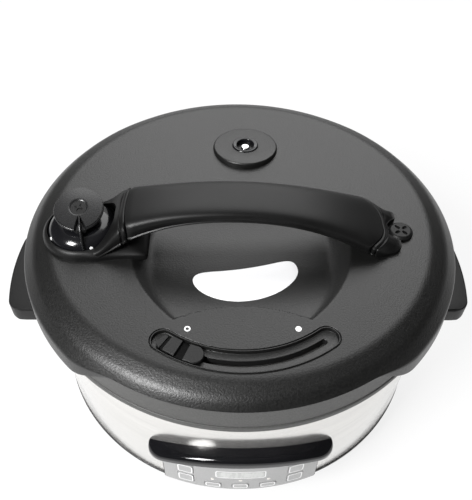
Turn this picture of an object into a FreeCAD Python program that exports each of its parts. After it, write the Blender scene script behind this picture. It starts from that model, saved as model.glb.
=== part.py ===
"""Electric pressure cooker: a low round cooker with a locking lid, in separate pieces.

Frame: millimetres, +Z up, origin on the floor under the middle of the body. The control
panel faces -Y, the mains inlet faces +Y, and the side handles lie along X.
"""
import FreeCAD, Part
import math
import os
from FreeCAD import Vector

# Heights of the main levels
foot_height = 6.0
seam_z = 30.0
collar_z = 126.5
band_top = 131.4
collar_top = 136.0
lid_gap = 0.6
crease_z = 150.5
lid_top = 160.0

# Radii of the main rings
base_radius = 126.0
wall_radius = 140.0
wall_thickness = 0.8
collar_radius = 145.8
lid_radius = 146.0
wing_radius = 150.0
flat_radius = 130.0
liner_radius = 122.5
pot_radius = 119.5

# Reach of the side handles and of the hood and inlet
reach_x = 174.0
reach_y = 150.0

# Fits: a close fit, a running gap, and how far a cutter runs past what it cuts
slip = 0.05
gap = 0.3
past = 4.0

# Base
base_floor = 3.0
base_wall = 2.6
base_floor_radius = 114.0
base_corner = 4.0
base_rim = 2.0
base_lip = 0.4
foot_radius = 10.0
foot_circle = 100.0
foot_plug_radius = 4.0
foot_plug_rise = 2.0
foot_round = 1.0
foot_angles = (45, 135, 225, 315)
post_circle = 96.0
post_radius = 6.0
post_angles = (90, 210, 330)
base_screw = 2.0
base_screw_head = 4.0
base_screw_sunk = 4.0
nut_height = 3.0
vent_count = 7
vent_pitch = 8.0
vent_size = (3.0, 46.0)

# Collar: a channel that the lock ring's hooks drop into
channel_inner = 126.0
channel_outer = 136.0
channel_floor = 125.0
collar_floor = 122.0
collar_bore = 123.0
collar_round = 1.2
collar_neck = 141.6
collar_fit = 0.2
liner_seat = 131.5

# Liner and pot
liner_floor = 40.0
liner_sheet = 1.2
liner_wall = 1.0
liner_corner = 5.0
flange_top = 134.5
lug_radius = 131.5
lug_count = 6
lug_angle = 20.0
pot_floor = 60.5
pot_base = 2.0
pot_wall = 1.5
pot_corner = 14.0
pot_rim_radius = 124.5
pot_rim_z = 134.7
pot_rim_round = 2.0

# Heater and sensor
plate_radius = 88.0
plate_bottom = 50.0
plate_top = 60.0
plate_round = (3.0, 2.0)
plate_leg = 5.0
plate_leg_circle = 76.0
plate_leg_angles = (30, 150, 270)
sensor_well = 17.0
element_radius = 62.0
element_tube = 3.5
element_z = 48.5
element_low = 26.0
element_ends = (100.0, 80.0)
element_hole_gap = 0.5
sensor_radius = 13.0
sensor_top = 60.2
sensor_cap = 8.0
sensor_round = 1.5
sensor_stem = 4.0
sensor_stem_low = 30.0
sensor_hole_gap = 1.0
spring_wire = 0.7
spring_radius = 8.0
spring_turns = 4
spring_room = 0.1

# Circuit boards
board_sheet = 1.6
board_standoff = 5.0
board_foot = 3.0
power_board_x = (-40.0, 40.0)
power_board_y = (-84.0, -30.0)
power_foot_inset = 5.0
control_board_x = (-38.0, 38.0)
control_board_y = -133.9
control_board_z = (44.0, 76.0)
solder_sunk = 0.5
transformer_box = ((-34.0, -12.0), (-60.0, -40.0), 13.0)
relay_box = ((-4.0, 12.0), (-50.0, -38.0), 11.0)
terminal_box = ((-30.0, 30.0), (-80.0, -70.0), 7.0)
capacitor_rods = ((5.0, 22.0, -45.0, 12.0), (4.0, 33.0, -47.0, 9.0))
chip_box = ((-8.0, 8.0), 2.0, (64.0, 74.0))
plug_box = ((16.0, 32.0), 5.0, (46.0, 52.0))

# Lid shell and what it carries
shell = 2.5
lip_step = 0.8
roll_drop = 5.5
roll_inset = 1.5
roll_round = 8.0
shoulder_round = 26.0
wing_start = 43.0
wing_z = 139.0
wing_rounds = (2.5, 5.0)
plate_z = 142.0
plate_sheet = 2.0
pressure_plate_radius = 131.5
seal_inner = 117.0
seal_outer = 126.0
seal_bottom = 136.5
seal_wall = 1.5
seal_room = 0.5
seal_wall_drop = (4.5, 5.0)
seal_arm = 3.0
pillar_angles = (15.0, 60.0, 120.0, 165.0, 225.0, 315.0)
pillar_circle = 100.0
pillar_radius = 5.0
lid_screw = 1.75
lid_screw_head = (3.6, 2.2)
lid_screw_length = 11.0

# Hand recess under the handle: plan corners on its right, its front arch and its floor
recess_corner = (42.0, -90.0)
recess_side = (62.0, -66.0)
recess_hip = (72.0, -40.0)
recess_back = (66.0, 12.0)
recess_arch_y = -80.0
recess_slope = (-92.0, -45.0)
recess_depth = (0.8, 8.0)
recess_low = 140.0
recess_wall = 2.2

# Lock ring, slider and the curved channel in the lid top
ring_web_z = 144.3
ring_web = 2.0
ring_web_inner = 116.0
ring_wall = (133.0, 135.5)
hook_z = (128.0, 130.8)
hook_inner = 129.0
hook_offset = 30.0
fork_inner = 111.0
fork_angle = 6.5
fork_slot = (112.6, 121.5)
fork_gap = 0.7
arc_centre_y = -36.0
arc_radius = 83.0
channel_half = 6.6
channel_depth = 2.6
channel_wall = 2.0
channel_ends = (-126.0, -55.0)
groove_half = 1.8
groove_depth = 9.0
groove_ends = (-114.5, -56.5)
slider_half = 6.2
slider_plate = 0.9
pin_radius = 1.5
pin_angle = -112.0
pin_clear = 0.4
square_key = (-126.5, -117.8)
square_inset = 0.6
square_lead = 1.5
round_key = (-114.6, -111.5)
round_inset = 0.4
round_lead = 1.2

# Lid handle, which stands a little in front of the lid's middle
handle_y = -17.0
grip_ends = (-75.0, 91.0)
grip_sections = 9
grip_middle = (-8.0, 187.0, 194.0)
grip_right = (161.2, 171.5)
grip_left = (172.5, 186.0)
grip_half = 17.2
grip_flare = (4.5, 9.5)
grip_bend = 2.1
grip_crown = 0.28
knob_x = -106.5
boss_radius = 27.0
boss_top = 166.5
boss_round = 2.0
screw_x = 109.0
notch_radius = 10.2
foot_tip = 4.0
foot_shoulder = 7.0
foot_taper = 5.0
foot_end_height = 4.0
handle_screw_head = (7.4, 1.8)
handle_screw_crown = (5.6, 3.4)
handle_screw = 2.5
handle_screw_length = 10.0
cross_arm = 4.2
cross_half = 1.0
cross_floor = 1.6
hidden_screw = 2.0
hidden_screw_head = (4.0, 2.6)
hidden_screw_rise = 7.0
hidden_screw_inset = 3.5
screw_post = 6.0
screw_post_drop = 11.0

# Regulator
dome_radius = 23.2
dome_top = 175.0
dome_bore = 8.4
dome_shoulder = 168.0
dome_rounds = (7.0, 3.0)
knob_radius = 16.2
knob_z = (175.6, 182.0)
knob_taper = 1.5
fin_turn = 10.0
fin_thickness = 2.4
fin_root = 4.0
fin_break = 13.5
fin_reach = 25.3
fin_low = 167.4
knob_socket = (3.0, 3.0)
weight_z = 170.5
weight_radius = 7.6
weight_peg = (2.9, 2.8)
pipe_radius = 5.0
pipe_bore = 1.8
pipe_top = 170.2
pipe_flange = (6.0, 3.0)
pipe_nut = 7.0
pipe_hole = 8.0
shield_radius = 6.9
shield_bore = 6.1
shield_drop = 11.0
shield_slot = (9.0, 1.0, 2.0, 7.0)

# Float valve
float_x = 4.5
float_y = 75.0
float_boss = 25.0
float_boss_height = 3.0
float_boss_edge = 2.6
float_boss_round = 1.5
float_ring = (6.5, 10.0)
float_ring_z = (-4.0, 3.6, 4.4)
float_stem = 3.4
float_foot = 6.0
float_foot_z = (132.0, 134.0)
float_clip = (5.4, 1.5)
float_clip_rise = 7.3
float_rise = 2.0
guide_radius = 5.0
guide_flange = 8.0
guide_height = 7.0
gasket_radius = 7.0
gasket_z = (-3.0, -0.3)
gasket_gap = 0.4

# Control panel, an arc on the front of the wall
front = -90.0
panel_bottom = 40.0
panel_angle = 21.0
panel_face_radius = 146.0
panel_back = 136.0
overlay = 0.6
overlay_inset = 0.8
panel_wall = 1.5
arch_y = (-180.0, -100.0)
window_angle = 6.05
window_z = (60.0, 68.0)
window_ledge = 0.8
window_proud = 0.1
display_half = 15.5
display_y = (-142.0, -135.5)
light_angles = (-7.4, 0.0, 7.4)
light_z = 55.6
light_radius = 1.2
light_proud = 0.15
side_key_size = (11.0, 11.0)
low_key_size = (11.0, 6.6)
key_round = 1.5
key_proud = 0.3
key_flange = 1.0
key_flange_grow = 0.9
key_pocket_grow = 1.3
key_back = 142.6
side_key_angle = 14.6
side_key_z = (64.6, 51.0)
low_key_angle = 7.3
low_key_z = 46.6

# Hood over the panel
hood_angle = 25.4
hood_under = (84.0, 150.0)
hood_over = (92.5, 127.0)
hood_drop = 40.0
hood_corner = 7.0
hood_edge = 2.4
hood_peg = 2.0
hood_peg_gap = 0.1
hood_peg_angle = 18.0
hood_peg_rise = 4.2
hood_peg_ends = (-5.0, 2.0)

# Side handles
handle_half = 39.0
handle_z = (87.5, 101.0)
handle_root = 149.0
root_bottom = 71.0
handle_sweep = 60.0
handle_corner = 9.0
handle_chamfer = 1.4
wall_screw = 1.9
wall_screw_hole = 2.0
wall_screw_head = (3.6, 2.4)
wall_screw_y = 22.0
wall_screw_z = 79.0
wall_screw_end = 147.0

# Mains inlet
inlet_half = 17.0
inlet_z = (42.0, 68.0)
inlet_round = 2.5
inlet_floor = 3.0
inlet_flange = 4.0
inlet_flange_y = (134.0, 136.8)
socket_half = 12.0
socket_z = (47.0, 63.0)
socket_rounds = (2.0, 6.0)
socket_floor = 131.0
blade_half = (1.0, 2.0)
blade_start = 124.0
blade_end = 143.5
blade_spread = 7.0
blade_stagger = 2.0

Z_AXIS = Vector(0, 0, 1)
ORIGIN = Vector(0, 0, 0)


def outline(corners, place):
    """Closed wire through (u, v) or (u, v, radius) corners; a radius rounds its corner with an arc."""
    edges = []
    ends = []
    count = len(corners)
    for i, corner in enumerate(corners):
        here = Vector(corner[0], corner[1], 0)
        radius = corner[2] if len(corner) > 2 else 0.0
        if radius == 0.0:
            ends.append((here, None, here))
            continue
        back = Vector(*corners[i - 1][:2], 0) - here
        ahead = Vector(*corners[(i + 1) % count][:2], 0) - here
        back.normalize()
        ahead.normalize()
        half = back.getAngle(ahead) / 2
        reach = radius / math.tan(half)
        inward = back + ahead
        inward.normalize()
        middle = here + inward * (radius / math.sin(half) - radius)
        ends.append((here + back * reach, middle, here + ahead * reach))
    for i, (entry, middle, leave) in enumerate(ends):
        if middle is not None:
            edges.append(Part.Arc(place(entry), place(middle), place(leave)).toShape())
        following = ends[(i + 1) % count][0]
        if leave.distanceToPoint(following) > 1e-6:
            edges.append(Part.LineSegment(place(leave), place(following)).toShape())
    return Part.Wire(edges)


def revolved(corners, start=0.0, sweep=360.0):
    """Solid of revolution about Z of an (r, z) outline, from one angle through a sweep, in degrees."""
    face = Part.Face(outline(corners, lambda p: Vector(p.x, 0, p.y)))
    face.rotate(ORIGIN, Z_AXIS, start)
    return face.revolve(ORIGIN, Z_AXIS, sweep)


def extruded(corners, low, high):
    """Upright prism of an (x, y) outline between two heights."""
    face = Part.Face(outline(corners, lambda p: Vector(p.x, p.y, low)))
    return face.extrude(Vector(0, 0, high - low))


def rod(radius, low, high, x=0.0, y=0.0):
    """Upright cylinder."""
    return Part.makeCylinder(radius, high - low, Vector(x, y, low))


def tube(outer, inner, low, high, x=0.0, y=0.0):
    """Upright tube."""
    return rod(outer, low, high, x, y).cut(rod(inner, low - past, high + past, x, y))


def sector(inner, outer, low, high, start, sweep):
    """Part of a flat ring, from a start angle through a sweep."""
    return revolved([(inner, low), (outer, low), (outer, high), (inner, high)], start, sweep)


def box(x, y, z):
    """Box between pairs of limits on each axis."""
    return Part.makeBox(x[1] - x[0], y[1] - y[0], z[1] - z[0], Vector(x[0], y[0], z[0]))


def polar(radius, angle, z=0.0):
    """Point at a radius and an angle in degrees from +X."""
    turn = math.radians(angle)
    return Vector(radius * math.cos(turn), radius * math.sin(turn), z)


def around(radius, angles):
    """The (x, y) of each angle on a circle about the body's axis."""
    return [polar(radius, angle)[:2] for angle in angles]


def radial_rod(radius, start, end, angle, z):
    """Level cylinder that points away from the body's axis."""
    return Part.makeCylinder(radius, end - start, polar(start, angle, z), polar(1, angle))


def turned(shape, angle):
    """Copy of a shape, turned about Z."""
    copy = shape.copy()
    copy.rotate(ORIGIN, Z_AXIS, angle)
    return copy


def moved(shape, x, y):
    """Copy of a shape, moved level."""
    copy = shape.copy()
    copy.translate(Vector(x, y, 0))
    return copy


def fused(first, *others):
    """One solid from several that touch or overlap."""
    return first.fuse(list(others)).removeSplitter()


def arc_to(start, corner, end):
    """Arc between two points, tangent to the two lines that meet at a corner."""
    middle = (start + end) * 0.5
    half = (corner - start).getAngle(end - start)
    share = math.tan(half / 2) / math.tan(half)
    return Part.Arc(start, middle + (corner - middle) * share, end).toShape()


def arc_pair(start, leave, end, arrive):
    """Two arcs from one point and direction to another, tangent where they meet."""
    span = end - start
    square = 2 * (leave.dot(arrive) - 1)
    linear = -2 * span.dot(leave + arrive)
    reach = (-linear - math.sqrt(linear ** 2 - 4 * square * span.dot(span))) / (2 * square)
    joint = (start + end + (leave - arrive) * reach) * 0.5
    return [arc_to(start, start + leave * reach, joint), arc_to(joint, end - arrive * reach, end)]


def coil(wire, radius, low, high, turns):
    """Round wire wound along a helix: a pair of arcs for each quarter turn, swept as one tube."""
    steps = 4 * turns
    climb = (high - low) / (2 * math.pi * turns)
    places = [polar(radius, 90 * i, low + (high - low) * i / steps) for i in range(steps + 1)]
    ways = [(polar(radius, 90 * i + 90, climb)).normalize() for i in range(steps + 1)]
    edges = []
    for i in range(steps):
        edges += arc_pair(places[i], ways[i], places[i + 1], ways[i + 1])
    path = Part.Wire(edges)
    section = Part.Wire(Part.makeCircle(wire, places[0], ways[0]))
    per_turn = 48
    points = path.discretize(Number=per_turn * turns + 1)
    apart = min(a.distanceToPoint(b) for i, a in enumerate(points) for b in points[i + per_turn // 2:])
    print("coil's least gap to itself", round(apart - 2 * wire, 2), "mm")
    return path.makePipeShell([section], True, False)


def arc_band(half, ends, low, high):
    """Band along the slider's arc with round ends, as wide as twice its half width."""
    centre = Vector(0, arc_centre_y, 0)
    middle = sum(ends) / 2
    outer = [centre + polar(arc_radius + half, a) for a in (ends[0], middle, ends[1])]
    inner = [centre + polar(arc_radius - half, a) for a in (ends[1], middle, ends[0])]
    tips = [centre + polar(arc_radius, end) + polar(half, end + way) for end, way in zip(ends, (-90, 90))]
    edges = [
        Part.Arc(*outer).toShape(),
        Part.Arc(outer[2], tips[1], inner[0]).toShape(),
        Part.Arc(*inner).toShape(),
        Part.Arc(inner[2], tips[0], outer[0]).toShape(),
    ]
    face = Part.Face(Part.Wire(edges))
    face.translate(Vector(0, 0, low))
    return face.extrude(Vector(0, 0, high - low))


def save(name, shape):
    """Write one piece, after checking that every solid in it is sound."""
    solids = shape.Solids
    if not solids or not all(s.isValid() and s.Volume > 0 for s in solids):
        raise ValueError(name + " is not a sound solid")
    kept = solids[0] if len(solids) == 1 else Part.makeCompound(solids)
    kept.exportStep(os.path.join("parts", name + ".step"))
    print(name, len(solids), "solid(s)", round(sum(s.Volume for s in solids) / 1000, 1), "cm3")


def base_shell():
    """Plastic tray under the body, with vents, foot sockets and posts for the liner."""
    floor = foot_height + base_floor
    rim = wall_radius + base_lip
    tray = revolved([
        (0, foot_height), (base_floor_radius, foot_height, base_corner), (base_radius, seam_z - base_rim),
        (rim, seam_z - base_rim), (rim, seam_z), (base_radius - base_wall, seam_z),
        (base_floor_radius - base_wall, floor, base_corner / 2), (0, floor)])
    posts = [rod(post_radius, foot_height, liner_floor, x, y) for x, y in around(post_circle, post_angles)]
    tray = fused(tray, *posts)
    for x, y in around(post_circle, post_angles):
        tray = tray.cut(rod(base_screw + slip, 0, liner_floor + past, x, y))
        tray = tray.cut(rod(base_screw_head + gap, 0, foot_height + base_screw_sunk, x, y))
    for x, y in around(foot_circle, foot_angles):
        tray = tray.cut(rod(foot_plug_radius + slip, 0, seam_z, x, y))
    half_width = vent_size[0] / 2
    half_length = vent_size[1] / 2
    for i in range(vent_count):
        x = (i - (vent_count - 1) / 2) * vent_pitch
        tray = tray.cut(box((x - half_width, x + half_width), (-half_length, half_length), (0, seam_z)))
    return tray


def feet():
    """Four rubber feet, each with a plug up into the base."""
    plug_top = foot_height + base_floor + foot_plug_rise
    foot = revolved([
        (0, 0), (foot_radius - foot_round, 0, foot_round), (foot_radius, foot_height),
        (foot_plug_radius, foot_height), (foot_plug_radius, plug_top, foot_round), (0, plug_top)])
    return Part.makeCompound([moved(foot, x, y) for x, y in around(foot_circle, foot_angles)])


def base_screws():
    """Three long screws up through the posts, each with its nut on the liner's floor."""
    group = []
    seat = foot_height + base_screw_sunk
    nut_low = liner_floor + liner_sheet
    for x, y in around(post_circle, post_angles):
        head = rod(base_screw_head, seat - nut_height, seat, x, y)
        shank = rod(base_screw, seat, nut_low + nut_height + 1, x, y)
        nut = tube(base_screw_head, base_screw, nut_low, nut_low + nut_height, x, y)
        group += [fused(head, shank), nut]
    return Part.makeCompound(group)


def outer_wall():
    """Steel cylinder with its openings for the panel, hood pegs, handle screws and inlet."""
    inner = wall_radius - wall_thickness
    wall = tube(wall_radius, inner, seam_z, collar_z)
    wall = wall.cut(panel_block(inner - past, wall_radius + past, gap, gap))
    wall = wall.cut(box((-inlet_half - gap, inlet_half + gap), (inner - 2 * past, reach_y + past),
                        (inlet_z[0] - gap, inlet_z[1] + gap)))
    for angle in hood_peg_angles():
        hole = radial_rod(hood_peg + hood_peg_gap, inner - past, wall_radius + past, angle, hood_peg_z())
        wall = wall.cut(hole)
    for side in (-1, 1):
        for y in (-wall_screw_y, wall_screw_y):
            start = Vector(side * (inner - 2 * past), y, wall_screw_z)
            wall = wall.cut(Part.makeCylinder(wall_screw_hole, 4 * past, start, Vector(side, 0, 0)))
    return wall


def hood_peg_angles():
    """Angles of the two pegs that hold the hood on the wall."""
    return (front - hood_peg_angle, front + hood_peg_angle)


def hood_peg_z():
    """Height of the hood's pegs, a little above the arch of its underside."""
    side = wall_radius * math.sin(math.radians(hood_peg_angle))
    drop = hood_under[1] - math.sqrt(hood_under[1] ** 2 - side ** 2)
    return hood_under[0] - drop + hood_peg_rise


def under_arch(apex, radius):
    """Everything under a level arch over the panel, whose crown runs front to back."""
    start = Vector(0, arch_y[0], apex - radius)
    return Part.makeCylinder(radius, arch_y[1] - arch_y[0], start, Vector(0, 1, 0))


def panel_block(inner, outer, grow, above=0.0):
    """Arc-shaped block of the panel's outline, between two radii, with an arched top."""
    half = panel_angle + math.degrees(grow / wall_radius)
    block = sector(inner, outer, panel_bottom - grow, hood_under[0] + past, front - half, 2 * half)
    return block.common(under_arch(hood_under[0] - collar_fit + above, hood_under[1] - collar_fit + above))


def collar_ring():
    """Plastic ring on the wall's top edge, with the channel for the lock ring's hooks."""
    plug = wall_radius - wall_thickness - collar_fit
    return revolved([
        (collar_bore, collar_floor), (plug, collar_floor), (plug, collar_z),
        (collar_radius, collar_z, collar_round), (collar_radius, band_top, collar_round),
        (collar_neck, band_top), (collar_neck, collar_top, collar_round), (channel_outer, collar_top),
        (channel_outer, channel_floor), (channel_inner, channel_floor), (channel_inner, liner_seat),
        (collar_bore, liner_seat)])


def inner_liner():
    """Steel well that holds the pot, with the flange and lugs that the lid locks under."""
    inner = liner_radius - liner_wall
    floor = liner_floor + liner_sheet
    well = revolved([
        (0, liner_floor), (liner_radius, liner_floor, liner_corner), (liner_radius, liner_seat),
        (channel_inner, liner_seat), (channel_inner, flange_top), (inner, flange_top),
        (inner, floor, liner_corner - liner_wall), (0, floor)])
    lugs = [sector(channel_inner - liner_wall, lug_radius, liner_seat, flange_top,
                   i * 360 / lug_count - lug_angle / 2, lug_angle) for i in range(lug_count)]
    well = fused(well, *lugs)
    well = well.cut(rod(sensor_stem + sensor_hole_gap, 0, floor + past))
    for x, y in around(post_circle, post_angles):
        well = well.cut(rod(base_screw + slip, 0, floor + past, x, y))
    for x, y in around(element_radius, element_ends):
        well = well.cut(rod(element_tube + element_hole_gap, 0, floor + past, x, y))
    return well


def heating_plate():
    """Cast plate that the pot stands over, on three legs, with a groove for the element."""
    plate = revolved([
        (sensor_well, plate_bottom), (plate_radius, plate_bottom, plate_round[0]),
        (plate_radius, plate_top, plate_round[1]), (sensor_well, plate_top)])
    legs = [rod(plate_leg, liner_floor + liner_sheet, plate_bottom + 1, x, y)
            for x, y in around(plate_leg_circle, plate_leg_angles)]
    groove = Part.makeTorus(element_radius, element_tube + slip, Vector(0, 0, element_z))
    return fused(plate, *legs).cut(groove)


def heating_element():
    """Tube bent into most of a circle, with both ends turned down through the liner's floor."""
    start, end = element_ends
    centre = polar(element_radius, start, element_z)
    circle = Part.Face(Part.Wire(Part.makeCircle(element_tube, centre, polar(1, start + 90))))
    ring = circle.revolve(ORIGIN, Z_AXIS, 360 - (start - end))
    legs = [rod(element_tube, element_low, element_z, x, y) for x, y in around(element_radius, element_ends)]
    knees = [Part.makeSphere(element_tube, polar(element_radius, a, element_z)) for a in element_ends]
    return fused(ring, *legs, *knees)


def temp_sensor():
    """Metal cap in the plate's well, on a stem that runs through the liner's floor."""
    low = sensor_top - sensor_cap
    cap = revolved([
        (0, low), (sensor_radius, low), (sensor_radius, sensor_top, sensor_round), (0, sensor_top)])
    return fused(cap, rod(sensor_stem, sensor_stem_low, low + 1))


def sensor_spring():
    """Wire coil between the liner's floor and the sensor's cap."""
    low = liner_floor + liner_sheet + spring_wire + spring_room
    high = sensor_top - sensor_cap - spring_wire - spring_room
    return coil(spring_wire, spring_radius, low, high, spring_turns)


def inner_pot():
    """Removable pot with a rounded floor corner and a flat rim."""
    inner = pot_radius - pot_wall
    top = pot_rim_z + pot_wall
    return revolved([
        (0, pot_floor), (pot_radius, pot_floor, pot_corner), (pot_radius, pot_rim_z),
        (pot_rim_radius, pot_rim_z), (pot_rim_radius, top), (inner, top, pot_rim_round),
        (inner, pot_floor + pot_base, pot_corner - pot_wall), (0, pot_floor + pot_base)])


def power_board():
    """Circuit board on the base's floor, with its transformer, relay, capacitors and terminals."""
    floor = foot_height + base_floor
    low = floor + board_standoff
    top = low + board_sheet
    seat = top - solder_sunk
    board = box(power_board_x, power_board_y, (low, top))
    inset_x = (power_board_x[0] + power_foot_inset, power_board_x[1] - power_foot_inset)
    inset_y = (power_board_y[0] + power_foot_inset, power_board_y[1] - power_foot_inset)
    stands = [rod(board_foot, floor, low + solder_sunk, x, y) for x in inset_x for y in inset_y]
    blocks = [box(x, y, (seat, top + height)) for x, y, height in (transformer_box, relay_box, terminal_box)]
    capacitors = [rod(radius, seat, top + height, x, y) for radius, x, y, height in capacitor_rods]
    return fused(board, *stands, *blocks, *capacitors)


def control_board():
    """Upright board behind the panel, with a chip and a plug for its ribbon."""
    back = control_board_y
    board = box(control_board_x, (back - board_sheet, back), control_board_z)
    parts = [box(x, (back - solder_sunk, back + depth), z) for x, depth, z in (chip_box, plug_box)]
    return fused(board, *parts)


def display_module():
    """Block of digits between the control board and the window."""
    return box((-display_half, display_half), display_y, (window_z[0] + gap, window_z[1] - gap))


def indicator_lights():
    """Three small clear studs in the panel, in a row under the window."""
    end = panel_face_radius + light_proud
    studs = [radial_rod(light_radius, key_back, end, front + a, light_z) for a in light_angles]
    return Part.makeCompound(studs)


def key_layout():
    """Name, size, angle from the front and height of each key."""
    keys = []
    for side, sign in (("left", -1), ("right", 1)):
        for level, z in zip(("upper", "lower"), side_key_z):
            keys.append(("key_%s_%s" % (side, level), side_key_size, sign * side_key_angle, z))
    for place, sign in (("left", -1), ("middle", 0), ("right", 1)):
        keys.append(("key_bottom_" + place, low_key_size, sign * low_key_angle, low_key_z))
    return keys


def key_block(size, angle, z, grow, start, end):
    """Rounded block through the panel at one key's place, between two depths from the axis."""
    half_x = size[0] / 2 + grow
    half_z = size[1] / 2 + grow
    corners = [(x * half_x, z + way * half_z, key_round) for x, way in ((-1, -1), (1, -1), (1, 1), (-1, 1))]
    face = Part.Face(outline(corners, lambda p: Vector(p.x, -start, p.y)))
    return turned(face.extrude(Vector(0, start - end, 0)), angle)


def key(size, angle, z):
    """Push key with a wider flange behind the panel."""
    cap = key_block(size, angle, z, 0, key_back, panel_face_radius + key_proud)
    flange = key_block(size, angle, z, key_flange_grow, key_back, key_back + key_flange)
    return fused(cap, flange)


def panel_housing():
    """Bezel that stands out through the wall, open at the back, with holes for keys, lights and window."""
    face = panel_face_radius - overlay
    body = panel_block(panel_back, face, 0)
    body = body.cut(panel_block(panel_back - past, face - panel_wall, -panel_wall, -panel_wall))
    for _, size, angle, z in key_layout():
        body = body.cut(key_block(size, angle, z, gap, key_back - past, face + past))
        pocket_end = key_back + key_flange + gap
        body = body.cut(key_block(size, angle, z, key_pocket_grow, key_back - past, pocket_end))
    for angle in light_angles:
        body = body.cut(radial_rod(light_radius + slip, panel_back, face + past, front + angle, light_z))
    half = window_angle - math.degrees(window_ledge / face)
    opening = sector(panel_back, face + past, window_z[0] + window_ledge, window_z[1] - window_ledge,
                     front - half, 2 * half)
    return body.cut(opening)


def panel_face():
    """Thin overlay on the bezel, with holes for the keys, lights and window."""
    low = panel_face_radius - overlay
    sheet = panel_block(low, panel_face_radius, -overlay_inset, -overlay_inset)
    for _, size, angle, z in key_layout():
        sheet = sheet.cut(key_block(size, angle, z, gap, key_back, panel_face_radius + past))
    for angle in light_angles:
        hole = radial_rod(light_radius + slip, low - past, panel_face_radius + past, front + angle, light_z)
        sheet = sheet.cut(hole)
    half = window_angle + math.degrees(slip / low)
    opening = sector(low - past, panel_face_radius + past, window_z[0] - slip, window_z[1] + slip,
                     front - half, 2 * half)
    return sheet.cut(opening)


def display_window():
    """Clear strip over the digits, set in the overlay."""
    return sector(panel_face_radius - overlay, panel_face_radius + window_proud, window_z[0], window_z[1],
                  front - window_angle, 2 * window_angle)


def hood():
    """Glossy arched visor over the panel, with round corners and two pegs into the wall."""
    plan = sector(wall_radius + slip, reach_y, hood_under[0] - hood_drop, hood_over[0] + past,
                  front - hood_angle, 2 * hood_angle)
    plan = plan.makeFillet(hood_corner, [e for e in plan.Edges if is_front_corner(e)])
    visor = plan.common(under_arch(*hood_over)).cut(under_arch(*hood_under)).Solids[0]
    visor = visor.makeFillet(hood_edge, [e for e in visor.Edges if is_hood_rim(e)])
    start, end = [wall_radius + reach for reach in hood_peg_ends]
    pegs = [radial_rod(hood_peg, start, end, a, hood_peg_z()) for a in hood_peg_angles()]
    return fused(visor, *pegs)


def is_front_corner(edge):
    """True for an upright edge at the front of the hood's plan."""
    span = edge.BoundBox
    return span.ZLength > hood_drop / 2 and math.hypot(span.Center.x, span.Center.y) > reach_y - 1


def is_hood_rim(edge):
    """True for the long edge between the hood's top and its front, or for half of it."""
    span = edge.BoundBox
    return span.XLength > reach_y / 5 and span.YMin < -reach_y + 1 and span.ZMax > hood_over[0] - 1


def side_handle(side):
    """Flat lifting handle: a slab that follows the body's curve, on a thick root against the wall."""
    foot = wall_radius + slip
    width = box((0, reach_x + past), (-handle_half, handle_half), (0, lid_top))
    slab = sector(foot, reach_x, handle_z[0], handle_z[1], -handle_sweep / 2, handle_sweep).common(width)
    thickness = handle_z[1] - handle_z[0]
    corners = [e for e in slab.Edges
               if e.BoundBox.ZLength > thickness / 2 and e.BoundBox.Center.x > handle_root]
    slab = slab.makeFillet(handle_corner, corners)
    top = [e for e in slab.Edges if e.BoundBox.ZMin > handle_z[1] - slip and e.BoundBox.XMax > handle_root]
    slab = slab.makeChamfer(handle_chamfer, top)
    root = sector(foot, handle_root, root_bottom, handle_z[0] + 1, -handle_sweep / 2, handle_sweep)
    handle = fused(slab, root.common(width))
    for y in (-wall_screw_y, wall_screw_y):
        start = Vector(wall_radius - 5 * past, y, wall_screw_z)
        handle = handle.cut(Part.makeCylinder(wall_screw + slip, 7 * past, start, Vector(1, 0, 0)))
    return handle if side > 0 else turned(handle, 180)


def side_handle_screws():
    """Four screws from inside the wall into the side handles."""
    group = []
    head_radius, head_height = wall_screw_head
    seat = math.sqrt((wall_radius - wall_thickness) ** 2 - (wall_screw_y + head_radius + gap) ** 2)
    for side in (-1, 1):
        way = Vector(side, 0, 0)
        for y in (-wall_screw_y, wall_screw_y):
            under = Vector(side * (seat - head_height), y, wall_screw_z)
            head = Part.makeCylinder(head_radius, head_height, under, way)
            shank = Part.makeCylinder(wall_screw, wall_screw_end - seat, under + way * head_height, way)
            group.append(fused(head, shank))
    return Part.makeCompound(group)


def power_inlet():
    """Mains inlet box in the back of the wall, with a deep socket and an inner flange."""
    body = box((-inlet_half, inlet_half), (socket_floor - inlet_floor, reach_y), inlet_z)
    body = body.makeFillet(inlet_round, [e for e in body.Edges if e.BoundBox.YLength > 2 * inlet_floor])
    wide = inlet_half + inlet_flange
    flange = box((-wide, wide), inlet_flange_y, (inlet_z[0] - inlet_flange, inlet_z[1] + inlet_flange))
    low, high = socket_z
    corners = [(-socket_half, low, socket_rounds[0]), (socket_half, low, socket_rounds[0]),
               (socket_half, high, socket_rounds[1]), (-socket_half, high, socket_rounds[1])]
    mouth = Part.Face(outline(corners, lambda p: Vector(p.x, socket_floor, p.y)))
    inlet = fused(body, flange).cut(mouth.extrude(Vector(0, reach_y + past - socket_floor, 0)))
    for x, z in blade_places():
        inlet = inlet.cut(blade(x, z, slip, socket_floor - past, socket_floor + 1))
    return inlet


def blade_places():
    """Middle of each of the inlet's three blades."""
    middle = sum(socket_z) / 2
    return ((-blade_spread, middle - blade_stagger), (blade_spread, middle - blade_stagger),
            (0.0, middle + blade_stagger))


def blade(x, z, grow, start, end):
    """One flat blade, grown on its sides, between two depths."""
    half_x = blade_half[0] + grow
    half_z = blade_half[1] + grow
    return box((x - half_x, x + half_x), (start, end), (z - half_z, z + half_z))


def inlet_pins():
    """Three flat blades in the inlet."""
    return Part.makeCompound([blade(x, z, 0, blade_start, blade_end) for x, z in blade_places()])


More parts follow.
